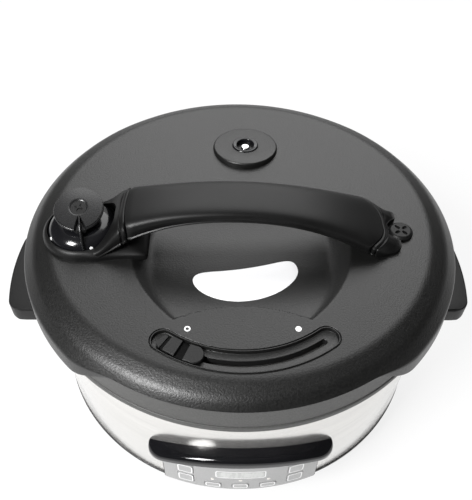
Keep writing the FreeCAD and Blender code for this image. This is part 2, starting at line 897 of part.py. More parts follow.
def recess_block(grow, top):
    """Hand recess under the handle: a plan with an arched front and a floor that slopes down to the back."""
    corners = (recess_corner, recess_side, recess_hip, recess_back)
    right = [Vector(x + grow, y, recess_low) for x, y in corners]
    right[0].y -= grow
    right[3].y += grow
    left = [Vector(-p.x, p.y, p.z) for p in right]
    arch = Vector(0, recess_arch_y - grow, recess_low)
    edges = [
        Part.Arc(left[0], arch, right[0]).toShape(),
        Part.Arc(*right[:3]).toShape(),
        Part.LineSegment(right[2], right[3]).toShape(),
        Part.LineSegment(right[3], left[3]).toShape(),
        Part.LineSegment(left[3], left[2]).toShape(),
        Part.Arc(left[2], left[1], left[0]).toShape(),
    ]
    prism = Part.Face(Part.Wire(edges)).extrude(Vector(0, 0, top - recess_low))
    shallow, deep = [lid_top - depth - grow for depth in recess_depth]
    wide = flat_radius
    side = [(-wide, shallow), (recess_slope[0], shallow), (recess_slope[1], deep), (wide, deep),
            (wide, collar_z), (-wide, collar_z)]
    ground = Part.Face(outline(side, lambda p: Vector(-wide, p.x, p.y))).extrude(Vector(2 * wide, 0, 0))
    return prism.cut(ground)


def lid_profile(inset):
    """Outline in (r, z) of the lid's outer form or, inset by its wall, of the space under it."""
    low = band_top + lid_gap - (1 if inset else 0)
    lip = lid_radius - lip_step - inset
    top = lid_top - inset
    step = crease_z - inset * 0.4
    roll = crease_z + roll_drop - inset * 0.7
    return [(0, low), (lip, low), (lip, step), (lid_radius - inset, step + lip_step * 0.75),
            (lid_radius - inset - roll_inset, roll, roll_round), (flat_radius - inset, top, shoulder_round),
            (0, top)]


def wing(start):
    """Outer swelling of the lid's edge over one side of the body."""
    inner = lid_radius - lip_step - shell
    return revolved([
        (inner, wing_z), (wing_radius, wing_z, wing_rounds[0]), (wing_radius, crease_z - 2, wing_rounds[1]),
        (lid_radius - 3, lid_top - 6.5), (inner, crease_z + 2)], start, 180 - 2 * wing_start)


def lid_cover():
    """Moulded lid: domed edge, side wings, hand recess, lock channel, float boss and screw pillars."""
    under = lid_top - shell - 0.5
    joined = under + 1
    above = lid_top + 2 * past
    plate_top_z = plate_z + plate_sheet
    cover = revolved(lid_profile(0)).cut(revolved(lid_profile(shell)))
    cover = fused(cover, wing(front + wing_start), wing(-front + wing_start))
    channel_low = lid_top - channel_depth - channel_wall
    channel_box = arc_band(channel_half + channel_wall, channel_ends, channel_low, joined)
    cover = fused(cover, recess_block(recess_wall, joined), channel_box)
    boss = revolved([
        (0, under), (float_boss, under), (float_boss, lid_top),
        (float_boss - 1, lid_top + float_boss_edge, float_boss_round), (0, lid_top + float_boss_height)])
    pillar_places = around(pillar_circle, pillar_angles)
    pillars = [rod(pillar_radius, plate_top_z, joined, x, y) for x, y in pillar_places]
    post = rod(screw_post, lid_top - screw_post_drop, joined, screw_x, handle_y)
    cover = fused(cover, moved(boss, float_x, float_y), post, *pillars)
    cover = cover.cut(recess_block(0, lid_top + past))
    cover = cover.cut(arc_band(channel_half, channel_ends, lid_top - channel_depth, lid_top + past))
    cover = cover.cut(arc_band(groove_half, groove_ends, lid_top - groove_depth, lid_top + past))
    holes = ((float_ring[1] + slip, float_x, float_y), (pipe_hole, knob_x, handle_y),
             (handle_screw + slip, screw_x, handle_y), (hidden_screw + slip, left_screw_x(), handle_y))
    for radius, x, y in holes:
        cover = cover.cut(rod(radius, recess_low, above, x, y))
    for x, y in pillar_places:
        cover = cover.cut(rod(lid_screw + slip, plate_top_z - 1, plate_z + lid_screw_length + 1, x, y))
    return cover


def left_screw_x():
    """Place of the hidden screw up into the handle's left bracket."""
    return grip_ends[0] - hidden_screw_inset


def pressure_plate():
    """Metal plate under the lid cover, with the two walls that hold the sealing ring."""
    low = plate_z
    within = seal_inner - seal_room
    outside = seal_outer + seal_room
    drops = [low - drop for drop in seal_wall_drop]
    plate = revolved([
        (0, low), (within - seal_wall, low), (within - seal_wall, drops[0]), (within, drops[0]),
        (within, low), (outside, low), (outside, drops[1]), (outside + seal_wall, drops[1]),
        (outside + seal_wall, low), (pressure_plate_radius, low), (pressure_plate_radius, low + plate_sheet),
        (0, low + plate_sheet)])
    holes = [(guide_radius + slip, float_x, float_y), (pipe_radius + slip, knob_x, handle_y)]
    holes += [(lid_screw + slip, x, y) for x, y in around(pillar_circle, pillar_angles)]
    for radius, x, y in holes:
        plate = plate.cut(rod(radius, low - past, low + plate_sheet + past, x, y))
    return plate


def sealing_ring():
    """Silicone ring with a lip that presses on the pot's rim."""
    top = plate_z - collar_fit
    web = seal_bottom + 2.4
    return revolved([
        (seal_inner, seal_bottom + 1.2), (seal_inner + seal_arm - 0.5, seal_bottom),
        (seal_outer - 1, seal_bottom, 0.8), (seal_outer, top), (seal_outer - seal_arm, top),
        (seal_outer - seal_arm - 0.6, web), (seal_inner + seal_arm + 0.6, web), (seal_inner + seal_arm, top),
        (seal_inner, top)])


def lid_screws():
    """Screws up through the pressure plate into the cover's pillars."""
    head_radius, head_height = lid_screw_head
    group = []
    for x, y in around(pillar_circle, pillar_angles):
        head = rod(head_radius, plate_z - head_height, plate_z, x, y)
        group.append(fused(head, rod(lid_screw, plate_z, plate_z + lid_screw_length, x, y)))
    return Part.makeCompound(group)


def lock_ring():
    """Turning ring with hooks that pass under the liner's lugs, and a fork for the slider's pin."""
    top = ring_web_z + ring_web
    inner, outer = ring_wall
    ring = revolved([
        (ring_web_inner, ring_web_z), (inner, ring_web_z), (inner, hook_z[0]), (outer, hook_z[0]),
        (outer, top), (ring_web_inner, top)])
    hooks = [sector(hook_inner, inner + 0.5, hook_z[0], hook_z[1],
                    i * 360 / lug_count + hook_offset - lug_angle / 2, lug_angle) for i in range(lug_count)]
    pin = pin_place()
    angle = math.degrees(math.atan2(pin.y, pin.x))
    fork = sector(fork_inner, ring_web_inner + 1, ring_web_z, top, angle - fork_angle, 2 * fork_angle)
    half = pin_radius + fork_gap
    slot = box(fork_slot, (-half, half), (ring_web_z - 1, top + 1))
    return fused(ring, fork, *hooks).cut(turned(slot, angle))


def pin_place():
    """Middle of the slider's pin at rest."""
    return Vector(0, arc_centre_y, 0) + polar(arc_radius, pin_angle)


def lock_slider():
    """Thumb slider in the channel: a square key and a round-ended key on one plate, with a pin below."""
    low = lid_top - channel_depth + gap
    spread = math.degrees(slider_half / arc_radius)
    plate = arc_band(slider_half, (square_key[0] + spread, round_key[1]), low, low + slider_plate)
    narrow = slider_half - square_inset
    start = square_key[0] + square_lead
    square = sector(arc_radius - narrow, arc_radius + narrow, low, lid_top + square_inset, start,
                    square_key[1] - start)
    narrow = slider_half - round_inset
    rounded = arc_band(narrow, round_key, low, lid_top + round_inset)
    half_turn = 180 * narrow / arc_radius
    beyond = sector(arc_radius - narrow, arc_radius + narrow, low - past, lid_top + past,
                    round_key[0] - round_lead, half_turn)
    pin = pin_place()
    peg = rod(pin_radius, ring_web_z + pin_clear, low + 1, pin.x, pin.y)
    return fused(plate, moved(square, 0, arc_centre_y), rounded.common(moved(beyond, 0, arc_centre_y)), peg)


def grip_section(x, half, low, top):
    """Cross-section of the handle: flat underneath, straight short sides and a crowned top."""
    shoulder = top - grip_crown * (top - low) - 1.5
    corners = [Vector(x, handle_y + side * half, z)
               for side, z in ((-1, low), (1, low), (1, shoulder), (-1, shoulder))]
    lines = [Part.LineSegment(corners[i - 1], corners[i]).toShape() for i in (1, 2, 0)]
    crown = Part.Arc(corners[2], Vector(x, handle_y, top), corners[3]).toShape()
    return Part.Wire([lines[0], lines[1], crown, lines[2]])


def handle_line(x):
    """Half width, underside and top of the handle at a place along it."""
    middle, low, top = grip_middle
    if x > middle:
        span = (x - middle) / (grip_ends[1] - middle)
        end_low, end_top = grip_right
        flare = grip_flare[1]
    else:
        span = (middle - x) / (middle - grip_ends[0])
        end_low, end_top = grip_left
        flare = grip_flare[0]
    bend = span ** grip_bend
    return grip_half + flare * span ** 3, low - (low - end_low) * bend, top - (top - end_top) * bend


def handle_grip():
    """Arched middle of the lid handle, lofted through its cross-sections."""
    step = (grip_ends[1] - grip_ends[0]) / (grip_sections - 1)
    places = [grip_ends[0] + i * step for i in range(grip_sections)]
    return Part.makeLoft([grip_section(x, *handle_line(x)) for x in places], True, False)


def handle_bracket():
    """Left end of the handle: a round boss about the regulator, and the arm up to the grip."""
    end = grip_ends[0]
    half, low, top = handle_line(end)
    sections = [
        grip_section(end, half, low, top),
        grip_section(end - 6, half + 0.5, lid_top, top - 4),
        grip_section(knob_x + 10, half + 1, lid_top, boss_top + 2),
    ]
    arm = Part.makeLoft(sections, True, True)
    boss = revolved([
        (0, lid_top), (boss_radius, lid_top), (boss_radius, boss_top, boss_round), (0, boss_top)])
    bracket = fused(moved(boss, knob_x, handle_y), arm)
    bracket = bracket.cut(rod(dome_radius + slip, lid_top - past, dome_top + past, knob_x, handle_y))
    screw_top = lid_top + hidden_screw_rise + 2
    return bracket.cut(rod(hidden_screw + slip, lid_top - past, screw_top, left_screw_x(), handle_y))


def handle_foot():
    """Right end of the handle: a short sloping foot with a round notch about the screw."""
    start = grip_ends[1]
    half, _, top = handle_line(start)
    tip = screw_x - foot_tip
    right = [
        (start, half), (start + foot_shoulder, half, foot_taper), (tip, half - foot_taper, foot_taper / 2)]
    plan = [(c[0], handle_y - c[1], *c[2:]) for c in right]
    plan += [(c[0], handle_y + c[1], *c[2:]) for c in reversed(right)]
    block = extruded(plan, lid_top, top + 2)
    side = [(start - 1, top), (tip + 1, lid_top + foot_end_height), (tip + 1, top + past),
            (start - 1, top + past)]
    slope = Part.Face(outline(side, lambda p: Vector(p.x, handle_y - 2 * half, p.y)))
    block = block.cut(slope.extrude(Vector(0, 4 * half, 0)))
    return block.cut(rod(notch_radius, lid_top - past, top + past, screw_x, handle_y))


def handle_screws():
    """The broad-headed screw in the foot's notch, with a cross recess, and the hidden one by the bracket."""
    edge, edge_height = handle_screw_head
    crown, height = handle_screw_crown
    head = revolved([
        (0, lid_top), (edge, lid_top), (edge, lid_top + edge_height), (crown, lid_top + height, 2),
        (0, lid_top + height)])
    head = moved(head, screw_x, handle_y)
    for arm_x, arm_y in ((cross_arm, cross_half), (cross_half, cross_arm)):
        head = head.cut(box((screw_x - arm_x, screw_x + arm_x), (handle_y - arm_y, handle_y + arm_y),
                            (lid_top + cross_floor, lid_top + past)))
    visible = fused(head, rod(handle_screw, lid_top - handle_screw_length, lid_top, screw_x, handle_y))
    under = lid_top - shell
    radius, depth = hidden_screw_head
    hidden = fused(rod(radius, under - depth, under, left_screw_x(), handle_y),
                   rod(hidden_screw, under, lid_top + hidden_screw_rise, left_screw_x(), handle_y))
    return Part.makeCompound([visible, hidden])


def regulator_base():
    """Glossy dome that the knob turns on, hollow for the vent pipe."""
    dome = revolved([
        (dome_bore, lid_top), (dome_radius, lid_top), (dome_radius, dome_shoulder, dome_rounds[0]),
        (knob_radius - 2, dome_top, dome_rounds[1]), (dome_bore, dome_top)])
    return moved(dome, knob_x, handle_y)


def regulator_knob():
    """Turning cap with a pointer fin that reaches down over the dome."""
    low, top = knob_z
    cap = revolved([(0, low), (knob_radius - knob_taper, low, 1), (knob_radius, top, 2), (0, top)])
    side = [
        (-fin_root, top - 1), (-fin_root, top + 1.2), (-fin_break, top + 0.8), (-fin_reach, fin_low + 1.2),
        (1.2 - fin_reach, fin_low), (1.7 - fin_reach, fin_low + 1), (-knob_radius, low + 0.4),
        (-fin_break, top - 1)]
    fin = Part.Face(outline(side, lambda p: Vector(-fin_thickness / 2, p.x, p.y)))
    fin = turned(fin.extrude(Vector(fin_thickness, 0, 0)), fin_turn)
    socket = rod(knob_socket[0], low - 1, low + knob_socket[1])
    return moved(fused(cap, fin).cut(socket), knob_x, handle_y)


def regulator_weight():
    """Steel weight under the knob, which closes the vent pipe."""
    top = knob_z[0] - 0.1
    peg, rise = weight_peg
    body = revolved([
        (0, weight_z), (weight_radius, weight_z), (weight_radius, top), (peg, top), (peg, knob_z[0] + rise),
        (0, knob_z[0] + rise)])
    return moved(body, knob_x, handle_y)


def vent_pipe():
    """Pipe through the lid to the regulator, with a flange under the pressure plate and a nut on it."""
    flange, depth = pipe_flange
    low = plate_z - depth
    nut_low = plate_z + plate_sheet
    return fused(tube(pipe_radius, pipe_bore, low, pipe_top, knob_x, handle_y),
                 tube(flange, pipe_bore, low, plate_z, knob_x, handle_y),
                 tube(pipe_nut, pipe_radius - 1, nut_low, nut_low + depth, knob_x, handle_y))


def vent_shield():
    """Small slotted cup that keeps food out of the vent pipe."""
    low = plate_z - shield_drop
    reach, half, slot_low, slot_top = shield_slot
    cup = fused(tube(shield_radius, shield_bore, low, plate_z), rod(shield_radius, low, low + 1))
    for angle in (0, 60, 120):
        cup = cup.cut(turned(box((-reach, reach), (-half, half), (low + slot_low, low + slot_top)), angle))
    return moved(cup, knob_x, handle_y)


def float_ring_trim():
    """Round bezel in the lid's float boss."""
    inner, outer = float_ring
    low, inner_top, outer_top = [lid_top + z for z in float_ring_z]
    ring = revolved([(inner, low), (outer, low), (outer, outer_top, 1.2), (inner, inner_top, 0.8)])
    return moved(ring, float_x, float_y)


def float_guide():
    """Metal bush in the pressure plate that the float pin rises through."""
    seat = plate_z + plate_sheet
    bore = float_stem + slip
    return fused(tube(guide_radius, bore, plate_z - collar_fit, plate_z + guide_height, float_x, float_y),
                 tube(guide_flange, bore, seat, seat + 2, float_x, float_y))


def float_gasket():
    """Silicone washer under the float guide, which the risen pin closes on."""
    low, high = [plate_z + z for z in gasket_z]
    return tube(gasket_radius, float_stem + gasket_gap, low, high, float_x, float_y)


def float_pin():
    """Pin with a foot that seals when it rises and a clip that stops it falling through."""
    low, foot_top = float_foot_z
    clip = plate_z + float_clip_rise
    clip_radius, clip_height = float_clip
    top = lid_top + float_rise
    pin = revolved([
        (0, low), (float_foot, low), (float_foot, foot_top), (float_stem, foot_top), (float_stem, clip),
        (clip_radius, clip), (clip_radius, clip + clip_height), (float_stem, clip + clip_height),
        (float_stem, top, 1.2), (0, top)])
    return moved(pin, float_x, float_y)


def build():
    """Make and write every piece."""
    os.makedirs("parts", exist_ok=True)
    single = (
        base_shell, feet, base_screws, outer_wall, collar_ring, side_handle_screws, inner_liner,
        heating_plate, heating_element, temp_sensor, sensor_spring, inner_pot, power_board,
        control_board, display_module, panel_housing, panel_face, indicator_lights, display_window,
        hood, power_inlet, inlet_pins, lid_cover, pressure_plate, sealing_ring, lid_screws, lock_ring,
        lock_slider, handle_grip, handle_bracket, handle_foot, handle_screws, regulator_base,
        regulator_knob, regulator_weight, vent_pipe, vent_shield, float_ring_trim, float_guide,
        float_gasket, float_pin)
    for make in single:
        save(make.__name__, make())
    for name, side in (("side_handle_left", -1), ("side_handle_right", 1)):
        save(name, side_handle(side))
    for name, size, angle, z in key_layout():
        save(name, key(size, angle, z))


build()
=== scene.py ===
"""Looks of an electric pressure cooker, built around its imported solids.

Each new piece is a surface worked out on a numpy grid, in metres and in the frame of the solids:
+Z up, the floor at z = 0, the control panel towards -Y and the side handles along X.
"""

import math
from functools import reduce

import bmesh
import bpy
import numpy as np
from mathutils import Matrix, Vector


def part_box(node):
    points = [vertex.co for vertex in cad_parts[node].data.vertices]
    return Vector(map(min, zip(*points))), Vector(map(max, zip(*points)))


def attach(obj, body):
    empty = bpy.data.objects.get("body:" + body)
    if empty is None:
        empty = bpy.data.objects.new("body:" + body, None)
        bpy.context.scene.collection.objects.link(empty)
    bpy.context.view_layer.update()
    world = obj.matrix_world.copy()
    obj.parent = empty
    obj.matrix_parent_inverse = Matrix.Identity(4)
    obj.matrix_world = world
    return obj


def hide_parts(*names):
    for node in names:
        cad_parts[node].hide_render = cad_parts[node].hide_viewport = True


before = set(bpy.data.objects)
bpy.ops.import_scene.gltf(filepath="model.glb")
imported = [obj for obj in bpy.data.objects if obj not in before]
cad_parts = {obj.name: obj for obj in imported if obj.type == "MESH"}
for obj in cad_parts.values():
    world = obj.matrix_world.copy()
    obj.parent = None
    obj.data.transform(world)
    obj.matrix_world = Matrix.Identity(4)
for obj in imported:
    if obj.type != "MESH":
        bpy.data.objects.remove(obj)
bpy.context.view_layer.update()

bl_info = {
    "name": "Pressure Cooker",
    "version": (1, 0, 0),
    "blender": (4, 5, 0),
    "location": "View3D > Sidebar > Cooker",
    "description": "Builds the surfaces, finishes and stage of an electric pressure cooker",
    "category": "Object",
}

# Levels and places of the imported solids
LID_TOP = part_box("handle_foot")[0].z
WALL_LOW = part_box("outer_wall")[0].z
WALL_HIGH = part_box("outer_wall")[1].z
HOOD_FRONT = -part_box("hood")[0].y
GRIP_LOW, GRIP_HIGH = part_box("handle_grip")
KNOB_MIDDLE = (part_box("regulator_base")[0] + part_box("regulator_base")[1]) / 2
FLOAT_MIDDLE = (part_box("float_pin")[0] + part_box("float_pin")[1]) / 2
HANDLE_Y = KNOB_MIDDLE.y

# The lid's rolled edge: radius and height over the crease of its corner, at the front and through a wing,
# and the corner's fillet; then how far the wing's shoulder and lower edge lie under the lid's top
ROLL_FRONT = (0.1412, 0.0052)
ROLL_WING = (0.1420, 0.0050)
ROLL_FILLET = 0.0170
WING_SHOULDER = 0.0125
WING_FOOT = 0.0262

# The lid's lip: how much paler it and the collar are painted than the top, a painted sheen for the pale
# floor's reflection on their upright faces; the depths between which that paint comes in, and the radius
# outside which the edge is a wing
LIP_PAINTED_SHEEN = 9.5
LIP_DROP = (0.0100, 0.0093)
LIP_OUTSIDE = 0.1457

# The slider's channel: its arc, the ends of the channel and of the groove in degrees, then half widths and
# depths of the channel, its rim and the pocket in the lid under it
ARC_MIDDLE = (0.0, -0.036)
ARC_RADIUS = 0.083
CHANNEL_ENDS = (-124.5, -53.2)
GROOVE_ENDS = (-113.5, -54.8)
CHANNEL_HALF = 0.0066
CHANNEL_DEPTH = 0.0026
RIM_HALF = 0.0083
POCKET_HALF = 0.0079
POCKET_DEPTH = 0.0105

# The hand recess: its front arch, its back wall, half widths at four places, the step along the arch, the
# floor's depth and the step's run; and how near to an edge the points of the lid's grid are drawn on to it
ARCH_RADIUS = 0.0932
ARCH_MIDDLE_Y = -0.1732
RECESS_BACK_Y = 0.012
RECESS_SIDE_Y = (-0.090, -0.066, -0.040, 0.012)
RECESS_SIDE_X = (0.042, 0.062, 0.072, 0.066)
RECESS_STEP = 0.0015
RECESS_DEPTH = 0.0080
ARCH_STEP_RUN = 0.0008
GRID_PULL = 0.0005

# The bare plate in the recess: its middle, half length, slope and the depth of its bow, and how far its top
# stands over the recess's floor and its underside lies in it
PLATE_MIDDLE = (0.0028, -0.0500)
PLATE_HALF = 0.0345
PLATE_SLOPE = 0.13
PLATE_BOW = 0.0235
PLATE_TOP = 0.00022
PLATE_SUNK = -0.0004

# The float valve's pad: its radius, its hole's, and the share of its height in its middle and lost behind
BOSS_RADIUS = 0.0250
BOSS_HOLE = 0.0100
BOSS_SLOPE = (0.88, 0.70)

# Small marks by the channel's ends, and their size
MARK_PLACES = (-0.0330, 0.0330)
MARK_Y = -0.0965
MARK_RADIUS = 0.0019

# How the grip's two ends bow in plan: the reach in the middle of each, and what it loses towards its edges
RIGHT_BOW = (0.0042, 0.0120)
LEFT_BOW = (-0.0005, -0.0025)

# The lid handle's line: the place of its crown, underside and top there, at its left and at its right end,
# how far it flares at each end, and the power that bends it
GRIP_CROWN_X = -0.008
GRIP_CROWN = (0.1870, 0.1940)
GRIP_LEFT = (0.1725, 0.1860)
GRIP_RIGHT = (0.1612, 0.1715)
GRIP_FLARE = (0.0045, 0.0095)
GRIP_BEND = 2.1

# The joints in the lid handle: the gap, and the thin band beyond it at the foot and at the arm
JOINT_GAP = 0.0006
FOOT_BAND = 0.0030
ARM_BAND = 0.0034

# The handle's foot: where its horns end, its height there, the screw between them and the notch about it
FOOT_END_X = 0.1065
FOOT_END_HEIGHT = 0.0040
SCREW_MIDDLE_X = 0.109
SCREW_RADIUS = 0.0083
NOTCH_RADIUS = 0.0102

# The pad under the handle's left arm, and how far the arm's horns reach beside the dome's middle
PAD_RADIUS = 0.0270
PAD_REACH = 0.0445
PAD_HEIGHT = 0.0063
ARM_HORN = 0.0085

# The regulator's dome: radius at its top, the level where it starts to curve, its rise and its bore
DOME_TOP_RADIUS = 0.0105
DOME_SPRING = 0.1630
DOME_RISE = 0.0095
DOME_BORE = 0.0084

# The dome's dots: turn about the knob's axis, height and radius
DOT_TURNS = (-67.0, -147.0)
DOT_HEIGHT = 0.1660
DOT_RADIUS = 0.00115

# The regulator's cap: its neck, the level of its top edge, the well in its middle and its pointer's turn
NECK_RADIUS = 0.0112
NECK_LOW = 0.1728
CAP_TOP = 0.1809
WELL_HEIGHT = 0.1828
WELL_RADIUS = 0.0052
POINTER_TURN = -80.0

# Slope of the cap down towards its pointer, and the levels between which its upright neck takes the slope on
CAP_SLOPE = 0.24
CAP_LEVEL = (NECK_LOW, 0.1758)
CAP_RAISE = 0.0015

# The cap's notch: where it starts along the pointer, its run, half width and depth
CAP_NOTCH_START = 0.0066
CAP_NOTCH_RUN = 0.0096
CAP_NOTCH_HALF = 0.0038
CAP_NOTCH_DEPTH = 0.0024

# The small cross in the cap's well: radius between its arms, their length beyond it, and its top's level
HUB_RADIUS = 0.0011
HUB_ARM = 0.0017
HUB_TOP = 0.1821

# The collar: radii of its inner and outer rims, and levels of its shelf, its rims and its band
COLLAR_INNER = (0.123, 0.126)
COLLAR_OUTER = (0.136, 0.139, 0.1416)
COLLAR_SHELF = (0.122, 0.125)
COLLAR_RIMS = (0.1315, 0.136)
COLLAR_BAND_TOP = 0.1314

# The hood: half its spread and its rounded ends in degrees, how far those draw back, and the height and
# radius of the arches over and under it
HOOD_SPREAD = 25.4
HOOD_CORNER = 5.6
HOOD_DRAW = 0.0092
HOOD_OVER = (0.0925, 0.127)
HOOD_UNDER = (0.0840, 0.150)

# The side handles: the slab, its corners in plan, the root's radius, the bevel and the outer arc's middle
HANDLE_THICK = 0.0135
HANDLE_CORNER = 0.0090
HANDLE_ROOT = 0.149
HANDLE_BEVEL = 0.0012
HANDLE_ARC_Y = 0.0060

# The panel: its radius, half the width of a printed line, and a printed outline's corners
PANEL_RADIUS = 0.146
PRINT_LINE = 0.00032
PRINT_CORNER = 0.0016

# Printed outlines on the keys and the panel: angle from the front in degrees, height, and half sizes
KEY_OUTLINES = [(side * 14.6, height, 0.0047, 0.0047) for side in (-1, 1) for height in (0.0646, 0.0510)]
KEY_OUTLINES += [(place * 7.3, 0.0466, 0.0047, 0.0026) for place in (-1, 0, 1)]
PANEL_OUTLINES = [(0.0, 0.0640, 0.0164, 0.0049)]

# The stretch of a pattern that is alike along all axes, half the floor's side, and the finishes made so far
EVEN = (1.0, 1.0, 1.0)
FLOOR_HALF = 4.0
FINISHES = {}


def length(name, description, default):
    """A length property, in metres."""
    return bpy.props.FloatProperty(name=name, description=description, default=default, min=0.0,
                                   precision=4, unit="LENGTH")


def colour(name, description, *default):
    """A colour property."""
    return bpy.props.FloatVectorProperty(name=name, description=description, default=default, size=3,
                                         min=0.0, max=1.0, subtype="COLOR")


class CookerSizes(bpy.types.PropertyGroup):
    """Sizes that a user may change."""

    lid_radius: length("Lid radius", "Outer radius of the lid's edge at its front and back", 0.146)
    flat_radius: length("Flat radius", "Radius where the lid's flat top starts to bend down", 0.1312)
    lip_inset: length("Lip inset", "How far the lid's lip stands back from the edge above it", 0.0008)
    crease_drop: length("Crease drop", "Height of the flat top above the crease over the lip", 0.0092)
    lip_drop: length("Lip drop", "Height of the flat top above the lip's lower edge", 0.0280)
    wing_radius: length("Wing radius", "Outer radius of the swellings over the body's sides", 0.1505)
    lid_wall: length("Lid wall", "Thickness of the lid's moulding", 0.0025)
    wall_radius: length("Wall radius", "Outer radius of the steel wall", 0.140)
    collar_radius: length("Collar radius", "Outer radius of the band on the wall's top edge", 0.1458)
    grip_half: length("Grip half width", "Half the width of the lid handle in its middle", 0.0172)
    dome_radius: length("Dome radius", "Radius of the regulator's dome", 0.0232)
    knob_radius: length("Knob radius", "Radius of the regulator's cap", 0.0162)


class CookerColours(bpy.types.PropertyGroup):
    """Colours that a user may change."""

    lid: colour("Lid", "Grained plastic of the lid", 0.0060, 0.0060, 0.0058)
    handle: colour("Handle", "Satin plastic of the handles", 0.005, 0.005, 0.005)
    gloss: colour("Gloss", "Polished plastic of the hood and the regulator's dome", 0.006, 0.006, 0.007)
    steel: colour("Steel", "Brushed steel of the wall", 0.74, 0.73, 0.71)
    panel: colour("Panel", "Silver paint of the control panel", 0.36, 0.36, 0.36)
    print: colour("Print", "White marks", 0.85, 0.85, 0.85)
    decal: colour("Decal", "Bare white plate in the hand recess", 0.84, 0.84, 0.85)
    floor: colour("Floor", "Studio floor", 0.90, 0.90, 0.90)


class CookerView(bpy.types.PropertyGroup):
    """The camera, as the photograph's was."""

    place: bpy.props.FloatVectorProperty(name="Place", description="Where the camera stands", size=3,
                                         default=(-0.0103, -0.3010, 0.4543), subtype="TRANSLATION")
    heading: bpy.props.FloatProperty(name="Heading", description="Turn to the right of straight ahead",
                                     default=math.radians(1.43), subtype="ANGLE")
    tilt: bpy.props.FloatProperty(name="Tilt", description="Angle of the view below level",
                                  default=math.radians(47.70), subtype="ANGLE")
    roll: bpy.props.FloatProperty(name="Roll", description="Turn of the camera about its view",
                                  default=math.radians(1.26), subtype="ANGLE")
    lens: bpy.props.FloatProperty(name="Lens", description="Focal length on a 36 mm sensor", default=43.15,
                                  unit="CAMERA")


class Value:
    """One output socket of a node tree. Arithmetic on values adds Math nodes, and | takes the greater."""

    def __init__(self, nodes, socket):
        self.nodes = nodes
        self.socket = socket

    def __add__(self, other):
        return self.nodes.math("ADD", self, other)

    def __sub__(self, other):
        return self.nodes.math("SUBTRACT", self, other)

    def __rsub__(self, other):
        return self.nodes.math("SUBTRACT", other, self)

    def __mul__(self, other):
        return self.nodes.math("MULTIPLY", self, other)

    def __lt__(self, other):
        return self.nodes.math("LESS_THAN", self, other)

    def __abs__(self):
        return self.nodes.math("ABSOLUTE", self)

    def __or__(self, other):
        return self.nodes.math("MAXIMUM", self, other)

    __radd__ = __add__
    __rmul__ = __mul__


class Nodes:
    """A node tree in the making: any node comes from node()."""

    def __init__(self, tree):
        self.tree = tree

    def feed(self, socket, value):
        """Link a value to a socket, or set the socket to a number or colour."""
        if isinstance(value, Value):
            self.tree.links.new(value.socket, socket)
        elif socket.type == "RGBA" and len(value) == 3:
            socket.default_value = (*value, 1.0)
        else:
            socket.default_value = value

    def node(self, kind, settings=None, inputs=None, output=0):
        """Add a node: its settings first, then the values or links of its sockets."""
        made = self.tree.nodes.new(kind)
        for key, value in (settings or {}).items():
            setattr(made, key, value)
        for key, value in (inputs or {}).items():
            self.feed(made.inputs[key], value)
        return Value(self, made.outputs[output] if made.outputs else None)

    def math(self, operation, *values):
        """Math node with its values in order."""
        return self.node("ShaderNodeMath", {"operation": operation}, dict(enumerate(values)))

    def axes(self, vector):
        """The three coordinates of a vector, as values."""
        parts = self.node("ShaderNodeSeparateXYZ", None, {0: vector})
        return [Value(self, output) for output in parts.socket.node.outputs]

    def ramp(self, value, low, high, start=0.0, end=1.0):
        """Carry a value from one range to another, held at its ends."""
        ranges = {0: value, 1: low, 2: high, 3: start, 4: end}
        return self.node("ShaderNodeMapRange", {"clamp": True}, ranges)

    def ray(self, name):
        """1 for rays of one kind."""
        return self.node("ShaderNodeLightPath", output=name)


class Finish(Nodes):
    """A material in the making: lay() sets the shader's sockets."""

    def __init__(self, name):
        self.material = bpy.data.materials.new(name)
        self.material.use_nodes = True
        super().__init__(self.material.node_tree)
        self.shader = self.tree.nodes["Principled BSDF"]
        self.place = self.node("ShaderNodeTexCoord", output="Object")

    def noise(self, scale, detail=2.0, stretch=EVEN):
        """Noise of so many waves a metre, drawn out along an axis by a small stretch."""
        place = self.node("ShaderNodeMapping", None, {"Vector": self.place, "Scale": stretch})
        return self.node("ShaderNodeTexNoise", None, {"Vector": place, "Scale": scale, "Detail": detail})

    def mix(self, share, first, second):
        """Colour between two colours."""
        return self.node("ShaderNodeMix", {"data_type": "RGBA"}, {0: share, 6: first, 7: second}, output=2)

    def tones(self, share, base, dark, light):
        """Colour between a darker and a lighter shade of a base."""
        return self.mix(share, shade(base, dark), shade(base, light))

    def vary(self, noise, low, high):
        """Carry the usual range of a noise to another range."""
        return self.ramp(noise, 0.3, 0.7, low, high)

    def near(self, point, reach):
        """1 within a distance of a point, and 0 outside."""
        ends = {0: self.place, 1: point}
        return self.node("ShaderNodeVectorMath", {"operation": "DISTANCE"}, ends, output=1) < reach

    def bump(self, height, depth, strength=1.0):
        """Normal from a height, whose full range stands so many metres proud."""
        return self.node("ShaderNodeBump", None, {"Height": height, "Distance": depth, "Strength": strength})

    def lay(self, **sockets):
        """Set or link the shader's sockets by name, with _ for a space."""
        for key, value in sockets.items():
            self.feed(self.shader.inputs[key.replace("_", " ")], value)
        return self.material


def paint(name):
    """One of the colours that a user may change."""
    return getattr(bpy.context.scene.cooker_colours, name)


def shade(base, factor):
    """A colour made lighter or darker."""
    return tuple(min(1.0, channel * factor) for channel in base)


def moulded(name, base, rough, grain, depth, spread=0.25, level=0.5):
    """Moulded plastic: a fine grain in its height, with a little cloud in its colour and its gloss."""
    finish = Finish(name)
    fine = finish.noise(grain, 3.0)
    cloud = finish.noise(38.0, 3.0)
    tone = finish.ramp(fine * 0.65 + cloud * 0.35, 0.35, 0.65)
    return finish.lay(
        Base_Color=finish.tones(tone, base, 1 - spread, 1 + spread),
        Roughness=finish.vary(cloud * 0.5 + fine * 0.5, rough - 0.05, rough + 0.05),
        Specular_IOR_Level=level, Normal=finish.bump(fine, depth))


